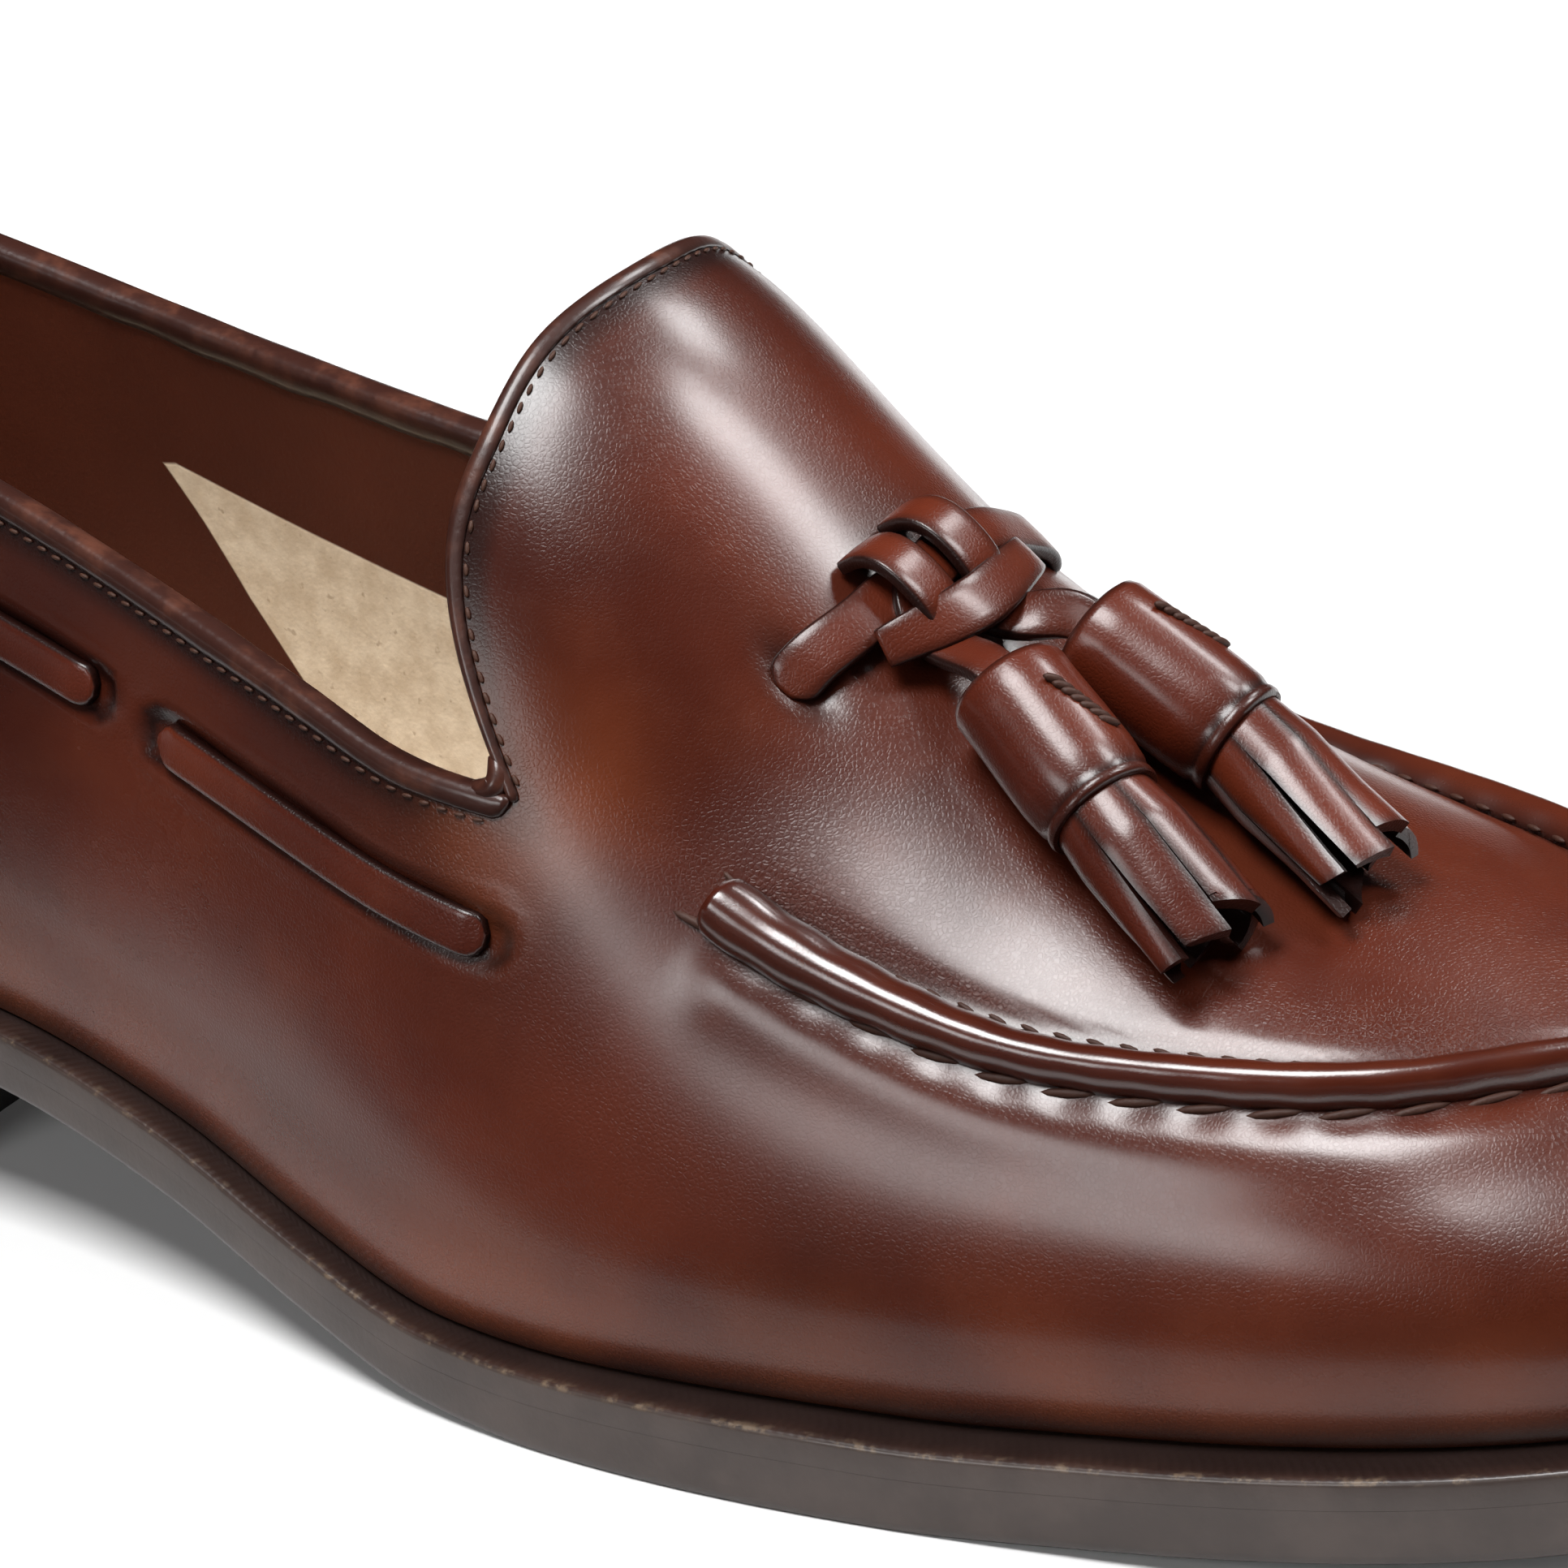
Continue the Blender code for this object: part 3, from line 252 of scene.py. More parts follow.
def sole_half(turn, side):
    """Half width of the sole on one side."""
    return outline[side](turn) * BALL_WIDTH


def upper_turn(x):
    """The turn at a distance from the heel's back."""
    return turn_of((x - UPPER_BACK) / (UPPER_FRONT - UPPER_BACK))


def upper_x(turn):
    """The distance from the heel's back at a turn."""
    return UPPER_BACK + (UPPER_FRONT - UPPER_BACK) * (1 - np.cos(turn)) / 2


def feather_half(turn, side):
    """Half width of the upper where it meets the welt."""
    return inset_half(sole_half(turn, side), turn, sections["margin"](turn) * WELT_THICKNESS)


print("feather line at the heel:", round(float(feather_height(0.0)) / MM, 1), "mm up")

# %% One section of the upper
def bezier(p0, p1, p2, p3, t):
    """A cubic curve from p0 to p3, drawn towards p1 and p2."""
    s = 1 - t
    return s ** 3 * p0 + 3 * s * s * t * p1 + 3 * s * t * t * p2 + t ** 3 * p3


def section_point(turn, side, up):
    """Half width and height of the upper at a share up its section, 0 feather and 1 ridge."""
    x = upper_x(turn)
    foot_z = feather_height(x)
    foot_y = feather_half(turn, side)
    ridge_z = np.maximum(sections["ridge"](turn) * INSTEP_HEIGHT, foot_z)
    ridge_y = sections["lean"](turn) * BALL_WIDTH * np.sin(turn) * SIDES[side]
    flank = flanks[side]
    wide_y = foot_y + np.maximum(flank["swell"](turn), 0) * WELT_THICKNESS
    wide_z = foot_z + np.maximum(flank["up"](turn), 0) * WELT_THICKNESS
    wide_z = np.minimum(wide_z, foot_z + 0.6 * (ridge_z - foot_z))
    t = np.clip(up / SWELL_SHARE, 0, 1)
    low_y = bezier(foot_y, foot_y + 0.75 * (wide_y - foot_y), wide_y, wide_y, t)
    low_z = bezier(foot_z, foot_z + 0.16 * (wide_z - foot_z), foot_z + 0.5 * (wide_z - foot_z), wide_z, t)
    t = np.clip((up - SWELL_SHARE) / (1 - SWELL_SHARE), 0, 1)
    crown = ridge_y + flank["crown"](turn) * (wide_y - ridge_y)
    high_y = bezier(wide_y, wide_y, crown, ridge_y, t)
    high_z = bezier(wide_z, wide_z + flank["wall"](turn) * (ridge_z - wide_z), ridge_z, ridge_z, t)
    low = up <= SWELL_SHARE
    return np.where(low, low_y, high_y), np.where(low, low_z, high_z)


print("half way up a middle section:", [round(float(v) / MM, 1) for v in section_point(1.6, "lateral", 0.5)])

# %% Points and normals of the upper
def heel_shift(x, z):
    """The heel's back bulges at half height and leans in at the collar."""
    seat = feather_height(0)
    share = (z - seat) / (COLLAR_HEIGHT - seat)
    bulge = -HEEL_CURVE * np.sin(math.pi * np.clip(share * 1.25, 0, 1))
    lean = HEEL_LEAN * np.maximum(share - 0.45, 0) ** 2 / 0.3025
    return (bulge + lean) * np.exp(-((x - UPPER_BACK) / HEEL_CURVE_REACH) ** 2)


def upper_point(turn, side, up):
    """Points of the upper's outer face in the row frame, as an array of x, y, z."""
    y, z = section_point(turn, side, up)
    x = upper_x(turn)
    return np.stack(np.broadcast_arrays(x + heel_shift(x, z) - HEEL_SEAT, SIDES[side] * y, z), -1)


def unit(v):
    """Vectors at length 1."""
    return v / np.linalg.norm(v, axis=-1, keepdims=True)


def surface_normal(turn, side, up):
    """The outward normal of the upper's outer face."""
    step = 0.002
    inside = np.clip(turn, 0.01, math.pi - 0.01)
    along = upper_point(inside + step, side, up) - upper_point(inside - step, side, up)
    rising = (upper_point(inside, side, np.minimum(up + step, 1))
              - upper_point(inside, side, np.maximum(up - step, 0)))
    return unit(np.cross(along, rising) * -SIDES[side])


ridge = upper_point(upper_turn(CORNER_FROM_HEEL), "lateral", 1.0)
print("ridge over the collar's corner:", np.round(ridge / MM, 1), "mm")

# %% Finding places on the upper
def up_where(turn, side, reached):
    """The share up a section at which a test on half width and height turns true."""
    low = np.zeros_like(turn + 0.0)
    high = np.ones_like(low)
    for _ in range(34):
        middle = (low + high) / 2
        done = reached(*section_point(turn, side, middle))
        low, high = np.where(done, low, middle), np.where(done, middle, high)
    return (low + high) / 2


def ring_top(x, side):
    """Where the ring of the upper stops: the topline, and in front of the corner its level."""
    x = np.minimum(x, CORNER_FROM_HEEL)
    height = topline[side](x / CORNER_FROM_HEEL) * COLLAR_HEIGHT
    return up_where(upper_turn(x), side, lambda y, z: z >= height)


def vamp_x(x, rise):
    """Distance from the heel on the vamp, bent near the tongue to follow its edge."""
    blend = np.maximum(1 - (x - CORNER_FROM_HEEL) / TONGUE_BLEND, 0) ** 2
    return x - tongue_back(rise) * CORNER_FROM_HEEL * blend


def surface_at(x, y):
    """The upper's points and normals over places given from the heel's back and the centre."""
    x, y = np.broadcast_arrays(np.asarray(x, float), np.asarray(y, float))
    points = np.zeros(x.shape + (3,))
    normals = np.zeros(x.shape + (3,))
    turn = upper_turn(x)
    medial = y > sections["lean"](turn) * BALL_WIDTH * np.sin(turn)
    for side, sign in SIDES.items():
        here = medial == (sign > 0)
        if here.any():
            t = turn[here]
            want = y[here] * sign
            up = up_where(t, side, lambda half, z: half <= want)
            up = np.maximum(up, SWELL_SHARE)
            points[here] = upper_point(t, side, up)
            normals[here] = surface_normal(t, side, up)
    return points, normals


probe = surface_at(np.array([0.2]), np.array([0.0]))
print("upper over the vamp at 200 mm:", np.round(probe[0][0] * 1000, 1))

# %% [markdown]
# ## Camera
# The photo is a close view from the outer side and a little from the front, from above, with
# the camera rolled. A long lens from 0.8 m keeps the two ends of the shoe in proportion.

# %% Camera
VIEW_AZIMUTH = 37.22
VIEW_HEIGHT = 23.09
VIEW_ROLL = -5.86
VIEW_DISTANCE = 0.8
VIEW_TARGET = Vector((0.16346, -0.04216, 0.07355))
VIEW_LENS = 196.07

azimuth, height, roll = (math.radians(a) for a in (VIEW_AZIMUTH, VIEW_HEIGHT, VIEW_ROLL))
back = Vector((math.sin(azimuth) * math.cos(height), -math.cos(azimuth) * math.cos(height), math.sin(height)))
right = Vector((math.cos(azimuth), math.sin(azimuth), 0))
above = back.cross(right)
across = right * math.cos(roll) + above * math.sin(roll)
upward = above * math.cos(roll) - right * math.sin(roll)
camera = bpy.data.objects.new("camera", bpy.data.cameras.new("camera"))
camera.data.lens = VIEW_LENS
camera.data.sensor_width = 36
camera.data.clip_start = 0.05
camera.location = VIEW_TARGET + back * VIEW_DISTANCE
pose = camera.matrix_world.to_3x3()
pose.col[0], pose.col[1], pose.col[2] = across, upward, back
camera.rotation_euler = pose.to_euler()
bpy.context.collection.objects.link(camera)
bpy.context.scene.camera = camera
print("camera at", [round(v, 3) for v in camera.location])

# %% [markdown]
# ## Writing a material in code
# Leather, thread and paper are each a tree of shader nodes. Placing every node by hand makes
# long scripts, so a socket here is a value that can be added and multiplied, and one method
# adds any node. A colour can then be written as a formula.

# %% A socket that can be added and multiplied
class Sock:
    """A socket or a number whose operators add Math nodes."""

    def __init__(self, tree, link):
        self.tree = tree
        self.link = link

    def math(self, operation, *others):
        """Adds one Math node."""
        node = self.tree.nodes.new("ShaderNodeMath")
        node.operation = operation
        for k, value in enumerate((self,) + others):
            put(self.tree, node.inputs[k], value)
        return Sock(self.tree, node.outputs[0])

    def __add__(self, other):
        return self.math("ADD", other)

    def __sub__(self, other):
        return self.math("SUBTRACT", other)

    def __rsub__(self, other):
        return (self * -1) + other

    def __mul__(self, other):
        return self.math("MULTIPLY", other)

    __radd__ = __add__
    __rmul__ = __mul__

    def clamp(self):
        """Keeps the value between 0 and 1."""
        return self.math("MAXIMUM", 0.0).math("MINIMUM", 1.0)


def put(tree, socket, value):
    """Sets a node's input to a number, a colour or another node's output."""
    if isinstance(value, Sock):
        tree.links.new(value.link, socket)
    elif hasattr(value, "__len__") and len(value) == 3 and socket.type == "RGBA":
        socket.default_value = (*value, 1)
    else:
        socket.default_value = value


print("named operations:", ", ".join(name for name in vars(Sock) if not name.startswith("_")))

# %% A finish and its nodes
class Finish:
    """A material's node tree with one method that adds any node."""

    def __init__(self, name, **constants):
        self.material = bpy.data.materials.new(name)
        self.material.use_nodes = True
        self.tree = self.material.node_tree
        self.shader = self.tree.nodes["Principled BSDF"]
        for socket, value in constants.items():
            put(self.tree, self.shader.inputs[socket.replace("_", " ")], value)

    def node(self, kind, output=0, settings=None, **inputs):
        """Adds a node; an input is given by its name, or by i and its place."""
        made = self.tree.nodes.new("ShaderNode" + kind)
        for key, value in (settings or {}).items():
            setattr(made, key, value)
        for key, value in inputs.items():
            socket = made.inputs[int(key[1:]) if key[1:].isdigit() else key.replace("_", " ")]
            put(self.tree, socket, value)
        return Sock(self.tree, made.outputs[output])

    def mix(self, factor, first, second):
        """A colour between two colours."""
        return self.node("Mix", 2, {"data_type": "RGBA"}, i0=factor, i6=first, i7=second)

    def noise(self, where, scale, detail=3.0, roughness=0.5):
        """Cloudy variation from 0 to 1."""
        return self.node("TexNoise", 0, None, Vector=where, Scale=scale, Detail=detail,
                         Roughness=roughness)

    def step(self, value, low, high):
        """A soft step from 0 at low to 1 at high."""
        return self.node("MapRange", 0, {"interpolation_type": "SMOOTHSTEP"}, Value=value,
                         From_Min=low, From_Max=high)

    def attribute(self, name):
        """A value that the mesh carries on its points."""
        return self.node("Attribute", 2, {"attribute_name": name})

    def bump(self, height, strength, distance):
        """Relief in the shading alone."""
        return self.node("Bump", 0, None, Height=height, Strength=strength, Distance=distance)

    def set(self, **links):
        """Links the values to the shader and gives the material back."""
        for socket, value in links.items():
            put(self.tree, self.shader.inputs[socket.replace("_", " ")], value)
        return self.material


VELVET = Finish("black_velvet", Base_Color=(0.01, 0.01, 0.01), Roughness=0.9).set()
print("first finish:", VELVET.name)

# %% [markdown]
# ## Floor and wall
# A product stands on paper that runs up into a wall with no visible fold. One big sheet could
# be bent for it. Here a flat floor keeps the shadow plain. Its colour is darker near the shoe,
# and it glows further away as painted light, so that it fades to white. The wall round it shows
# to the camera alone, because its reflection would fill the dark parts of the polish.

# %% Floor and wall
FLOOR_REACH = 3.0
WALL_HEIGHT = 5.0
PAINTED_PAPER_NEAR = (0.66, 0.66, 0.66)
PAPER_FAR = (0.9, 0.9, 0.9)
PAINTED_GLOW_NEAR = (0.03, 0.03, 0.03)


def floor_painted_light():
    """Paper painted darker near the shoe, that glows plain white away from it as painted light."""
    f = Finish("floor_painted_light", Roughness=0.85, Emission_Strength=1.0)
    where = f.node("TexCoord", 3)
    x, y = (f.node("SeparateXYZ", axis, None, Vector=where) for axis in (0, 1))
    # Painted light: the paper grows paler and glows more away from the shoe.
    far = f.step((x * x + y * y).math("SQRT"), 0.20, 0.60)
    return f.set(Base_Color=f.mix(far, PAINTED_PAPER_NEAR, PAPER_FAR),
                 Emission_Color=f.mix(far, PAINTED_GLOW_NEAR, PAPER_FAR))


bpy.ops.mesh.primitive_plane_add(size=2 * FLOOR_REACH, location=(0, 0, 0))
floor = bpy.context.object
floor.name = "floor"
floor.data.materials.append(floor_painted_light())

bpy.ops.mesh.primitive_cylinder_add(radius=FLOOR_REACH, depth=WALL_HEIGHT, end_fill_type="NOTHING",
                                    location=(0, 0, WALL_HEIGHT / 2))
wall = bpy.context.object
wall.name = "pale_wall"
wall.visible_glossy = wall.visible_diffuse = wall.visible_shadow = False
wall.data.materials.append(Finish("wall_paper", Base_Color=PAPER_FAR, Roughness=0.9,
                                  Emission_Color=(1, 1, 1), Emission_Strength=1.0).set())
print("floor:", 2 * FLOOR_REACH, "m across")

# %% [markdown]
# ## Panels and cards
# Polished leather shows the lamps as pale shapes, so each panel stands on the camera's ray
# as the leather reflects it at a highlight of the photo. Matt black cards on the near side and behind
# the heel show only in the polish, where they give the side of the shoe its dark bands. The
# room is almost dark, or its light would lie over everything as a veil.

# %% Panels, cards and room
CARD_HEIGHT = 1 * MM
ROOM_LIGHT = 0.02
CARDS = {
    "black_card_near": ((-0.75, 0.85), (-1.30, -0.088)),
    "black_card_heel": ((-0.90, -0.065), (-0.088, 0.40)),
}
for name, ((x0, x1), (y0, y1)) in CARDS.items():
    bpy.ops.mesh.primitive_plane_add(size=1, location=((x0 + x1) / 2, (y0 + y1) / 2, CARD_HEIGHT))
    card = bpy.context.object
    card.name = name
    card.scale = (x1 - x0, y1 - y0, 1)
    card.visible_camera = card.visible_shadow = False
    card.data.materials.append(VELVET)

PANELS = {
    "name": ["overhead", "toe_side", "behind", "near_side"],
    "where": [(0.10, -0.42, 1.18), (0.84, 0.48, 1.18), (0.42, 0.84, 1.18), (-0.10, -1.03, 0.49)],
    "size": [(0.42, 0.54), (0.28, 0.42), (0.32, 0.24), (0.36, 0.28)],
    "power": [22.5, 12, 7, 3.4],
}
AIM = Vector((0.12, 0, 0.05))
for name, where, size, power in zip(*PANELS.values()):
    lamp = bpy.data.lights.new(name, "AREA")
    lamp.shape = "RECTANGLE"
    lamp.size, lamp.size_y = size
    lamp.energy = power
    panel = bpy.data.objects.new(name, lamp)
    panel.location = where
    panel.rotation_euler = (AIM - Vector(where)).to_track_quat("-Z", "Y").to_euler()
    bpy.context.collection.objects.link(panel)

world = bpy.data.worlds.new("room")
world.use_nodes = True
world.node_tree.nodes["Background"].inputs["Color"].default_value = (1, 1, 1, 1)
world.node_tree.nodes["Background"].inputs["Strength"].default_value = ROOM_LIGHT
bpy.context.scene.world = world
bpy.context.scene.view_settings.view_transform = "Standard"
print("panels:", ", ".join(PANELS["name"]))

# %% [markdown]
# ## Calf leather
# Polished calf has a red-brown dye that is darker at edges and openings, a fine grain that is
# drawn tighter over the sides, and a wax coat. Painted shade darkens its creases and hollows,
# and a painted reflection lightens the low turn of the side. It could be painted as a picture.
# Noise in the object's own metres, mixed by values on the mesh, stays sharp at any distance.

# %% Calf finish
def calf(name, dark=0.0, grain=1.0, hue=1.0, shine=0.0):
    """Burnished calf. A value on the mesh darkens edges and openings and paints shade into creases and
    hollows.
    """
    f = Finish(name, Specular_IOR_Level=0.16, Coat_Roughness=0.23, Coat_IOR=1.5)
    where = f.node("TexCoord", 3)
    wide = f.noise(where, 22.0, 3.0)
    cloud = f.noise(where, 75.0, 4.0, 0.6)
    colour = f.mix(f.step(wide, 0.3, 0.7), (0.046 * hue, 0.0072, 0.0030), (0.090 * hue, 0.0155, 0.0058))
    colour = f.mix(f.step(cloud, 0.4, 0.85) * 0.3, colour, (0.140 * hue, 0.031, 0.011))
    stain = f.step(f.noise(where, 30.0, 3.0, 0.5), 0.35, 0.85) * 0.3
    burnish = (f.attribute("burnish") + stain + dark).clamp()
    # Burnish and painted shade: a value on the mesh darkens edges, creases and hollows.
    colour = f.mix(burnish, colour, (0.013, 0.0036, 0.0026))
    # Lighter dye at the collar's corner, and a painted reflection low on the side.
    glow = f.attribute("glow")
    colour = f.mix(glow * f.step(f.noise(where, 50.0, 1.0), 0.2, 0.8), colour, (0.23, 0.056, 0.018))
    cells = f.node("TexVoronoi", 0, {"feature": "DISTANCE_TO_EDGE"}, Vector=where, Scale=2000.0)
    fine = f.noise(where, 3600.0, 2.0)
    relief = f.step(cells, 0.0, 0.28) * 0.6 + fine * 0.4
    amount = f.noise(where, 35.0) * 0.5 + 0.3 + f.attribute("grain") * 1.4 - f.attribute("matt") * 0.3
    bump = f.bump(relief * amount, 0.5 * grain, 0.00012)
    rough = f.noise(where, 300.0, 4.0) * 0.09 + (0.27 - 0.10 * shine) + f.attribute("grain") * 0.06
    rough = rough - f.attribute("matt") * 0.08
    polish = 1 - f.attribute("matt") * 0.85
    return f.set(Base_Color=colour, Roughness=rough, Normal=bump, Coat_Weight=polish * (0.58 + 0.4 * shine))


CALF = calf("calf_polished")
print("finish:", CALF.name)

# %% [markdown]
# ## From arrays to meshes
# Every piece of trim is a grid of points in rows. The points could be set one by one, but an
# array of them is quicker to build and to bend. A mesh can carry extra values on its points,
# such as how dark the leather is burnished and painted with shade there, and the finishes read them.

# %% Mesh helpers
def write(mesh, key, values):
    """Stores a value on each point of a mesh."""
    layer = mesh.attributes.get(key) or mesh.attributes.new(key, "FLOAT", "POINT")
    layer.data.foreach_set("value", np.asarray(values, np.float32).ravel())


def placed(name, mesh, finish=None):
    """A mesh as an object of the scene, in the row frame."""
    if finish:
        mesh.materials.append(finish)
    obj = bpy.data.objects.new(name, mesh)
    bpy.context.collection.objects.link(obj)
    return obj


def add_mesh(name, points, faces, finish, attributes):
    """A smooth mesh piece, with values on its points."""
    mesh = bpy.data.meshes.new(name)
    mesh.from_pydata(np.asarray(points).reshape(-1, 3).tolist(), [], faces)
    for key, values in attributes.items():
        write(mesh, key, values)
    mesh.shade_smooth()
    return placed(name, mesh, finish)


def turned_out(obj, crease=None):
    """Turns the faces of a closed piece outwards, with sharp edges from a crease angle on."""
    work = bmesh.new()
    work.from_mesh(obj.data)
    bmesh.ops.recalc_face_normals(work, faces=work.faces)
    work.to_mesh(obj.data)
    work.free()
    if crease:
        obj.data.set_sharp_from_angle(angle=crease)
    return obj


CREASE = math.radians(50)
print("crease angle:", round(math.degrees(CREASE)), "degrees")

# %% Faces of a grid, and setting a piece in place of its CAD nodes
def grid_faces(rows, columns, start=0, close_rows=False, close_columns=False):
    """Quads of a grid of points stored row by row."""
    r = np.arange(rows if close_rows else rows - 1)[:, None]
    c = np.arange(columns if close_columns else columns - 1)[None, :]
    r2 = (r + 1) % rows
    c2 = (c + 1) % columns
    quads = np.stack([r * columns + c, r * columns + c2, r2 * columns + c2, r2 * columns + c], -1)
    return (quads.reshape(-1, 4) + start).tolist()


def finished(obj, slot, *nodes):
    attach(obj, "root")
    if nodes:
        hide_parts(*nodes)
    return obj


print("quads of a grid of 3 by 4 points:", len(grid_faces(3, 4)))

# %% [markdown]
# ## Lines on the leather
# The roll, the lace windows and the slots are lines on the upper's own function. They are
# worked out first, because they press into the leather before they carry pieces of their own.

# %% Sizes of roll and laces
LINE_STEP = 0.7 * MM
LACE_DROP = 13.4 * MM
COLLAR_LACE_WIDTH = 4.7 * MM
ROLL_WIDTH = 5.6 * MM
ROLL_HEIGHT = 3.7 * MM
LACE_WINDOWS = {"front": (0.715, 0.992), "middle": (0.385, 0.655)}
HEEL_WINDOW = 0.322
WINDOW_STRAIGHTENING = 0.7
SLOTS = {"lateral": (0.6097, -0.191), "medial": (0.6120, 0.186)}
print("lace below the topline:", round(LACE_DROP / MM, 1), "mm")

# %% Measures along a path
def along_lengths(points):
    """Distance along a path at each of its points."""
    return np.concatenate([[0], np.cumsum(np.linalg.norm(np.diff(points, axis=0), axis=1))])


def from_tips(path):
    """Distance from the nearer end of a path at each of its points."""
    run = along_lengths(path)
    return np.minimum(run, run[-1] - run)


def rounded(distance, radius, least):
    """A width that grows from its least at a tip to 1 like the arc of a round end."""
    return np.sqrt(np.clip(1 - (1 - np.clip(distance / radius, 0, 1)) ** 2, least, 1))


def spread(points, spacing, *others):
    """A path read again at even spacing, with the values that go with its points."""
    run = along_lengths(points)
    at = np.linspace(0, run[-1], max(int(round(run[-1] / spacing)), 2) + 1)
    return [np.stack([np.interp(at, run, column) for column in values.T], -1)
            for values in (points,) + others]


print("half way round an end:", round(float(rounded(0.5, 1, 0)), 2), "of the width")

# %% Paths over the leather
def roll_line(spacing):
    """Points and normals along the moccasin roll."""
    knots = np.arange(len(ROLL_PATH["along"]))
    t = np.linspace(0, knots[-1], 300)
    along = natural_spline(knots, ROLL_PATH["along"])(t) * SHOE_LENGTH
    side = natural_spline(knots, ROLL_PATH["side"])(t) * BALL_WIDTH
    points, normals = surface_at(along, side)
    return spread(points, spacing, normals)


def collar_line(side, low, high, spacing):
    """Points and normals a lace's drop below the topline between two shares of its length."""
    x = np.linspace(low, high, 120) * CORNER_FROM_HEEL
    turn = upper_turn(x)
    height = topline[side](x / CORNER_FROM_HEEL) * COLLAR_HEIGHT - LACE_DROP
    if low:
        height += WINDOW_STRAIGHTENING * (np.linspace(height[0], height[-1], len(x)) - height)
    up = up_where(turn, side, lambda y, z: z >= height)
    return spread(upper_point(turn, side, up), spacing, surface_normal(turn, side, up))


roll_points, roll_normals = roll_line(LINE_STEP)
windows = {}
for side in SIDES:
    for window, (low, high) in LACE_WINDOWS.items():
        windows[f"lace_{side}_{window}"] = collar_line(side, low, high, LINE_STEP)
halves = [collar_line(side, 0.0, HEEL_WINDOW, LINE_STEP) for side in SIDES]
windows["lace_heel"] = [np.concatenate([a[::-1], b[1:]]) for a, b in zip(*halves)]
print("roll:", round(along_lengths(roll_points)[-1] * 1000), "mm, windows:", len(windows))

# %% [markdown]
# ## The upper
# The CAD upper is a faceted shell. Its visible leather is laid again on the same function as a
# fine grid, so that small hollows can be pressed into it.

# %% Grids of the upper
def upper_grid(rows_ring, rows_vamp, columns_side, columns_vamp, inset=0.0):
    """Points and faces of the upper's face, with its drop below the topline at each point."""
    corner = upper_turn(CORNER_FROM_HEEL)
    behind = upper_x(corner * np.arange(columns_side) / columns_side)
    ahead = upper_x(corner + (math.pi - corner) * np.arange(columns_vamp + 1) / columns_vamp)
    points, faces, edge, total = [], [], [], 0
    for side in SIDES:
        x = np.concatenate([behind, ahead])[None, :]
        share = (np.arange(rows_ring + 1) / rows_ring)[:, None]
        grids = [(x + 0 * share, ring_top(x, side) * share)]
        rise = (np.arange(rows_vamp // 2 + 1) / (rows_vamp // 2))[:, None]
        start = ring_top(ahead[None, :], side)
        grids.append((vamp_x(ahead[None, :], rise), start + (1 - start) * rise))
        for k, (xs, ups) in enumerate(grids):
            turn = upper_turn(xs)
            block = upper_point(turn, side, ups)
            if k == 0:
                rim = np.linalg.norm(block[-1:] - block, axis=-1)
                gap = np.maximum(x - CORNER_FROM_HEEL, 0)
                rim = np.hypot(rim, gap)
            else:
                rim = np.linalg.norm(block[:, :1] - block, axis=-1)
            if inset:
                block = block - surface_normal(turn, side, ups) * inset
            quads = grid_faces(block.shape[0], block.shape[1], total)
            if side == "medial":
                quads = [q[::-1] for q in quads]
            points.append(block.reshape(-1, 3))
            edge.append(np.broadcast_to(rim, block.shape[:2]).ravel())
            faces += quads
            total += block.shape[0] * block.shape[1]
    return np.concatenate(points), faces, np.concatenate(edge)


points, faces, rims = upper_grid(66, 60, 165, 185)
print("points laid over the last:", len(points))

# %% Weld the grids
def welded(name, points, faces, **values):
    """A mesh whose grids are joined where their borders meet."""
    work = bmesh.new()
    layers = {key: work.verts.layers.float.new(key) for key in values}
    for k, p in enumerate(points):
        vert = work.verts.new(p)
        for key, layer in layers.items():
            vert[layer] = float(values[key][k])
    work.verts.ensure_lookup_table()
    for quad in faces:
        work.faces.new([work.verts[i] for i in quad])
    bmesh.ops.remove_doubles(work, verts=work.verts, dist=0.02 * MM)
    bmesh.ops.dissolve_degenerate(work, edges=work.edges, dist=0.01 * MM)
    mesh = bpy.data.meshes.new(name)
    work.to_mesh(mesh)
    work.free()
    mesh.shade_smooth()
    return mesh


def read(mesh, key):
    """Positions, normals or an attribute of a mesh's points as an array."""
    if key == "co":
        data = np.zeros(len(mesh.vertices) * 3)
        mesh.vertices.foreach_get("co", data)
        return data.reshape(-1, 3)
    if key == "normal":
        data = np.zeros(len(mesh.vertices) * 3, np.float32)
        mesh.vertex_normals.foreach_get("vector", data)
        return data.reshape(-1, 3)
    data = np.zeros(len(mesh.vertices), np.float32)
    mesh.attributes[key].data.foreach_get("value", data)
    return data


skin = welded("upper_leather", points, faces, rim=rims)
print("upper leather:", len(skin.polygons), "faces")

# %% [markdown]
# ## What presses into the leather
# Hand-sewing draws the leather in at each stitch under the roll. Each lace window is a shallow
# pressed channel, and openings and edges are burnished dark by hand; the creases and hollows
# round them are painted darker as painted shade. All of it could be sculpted. Formulas of the
# distance to each line do it evenly, and they are quick to change.

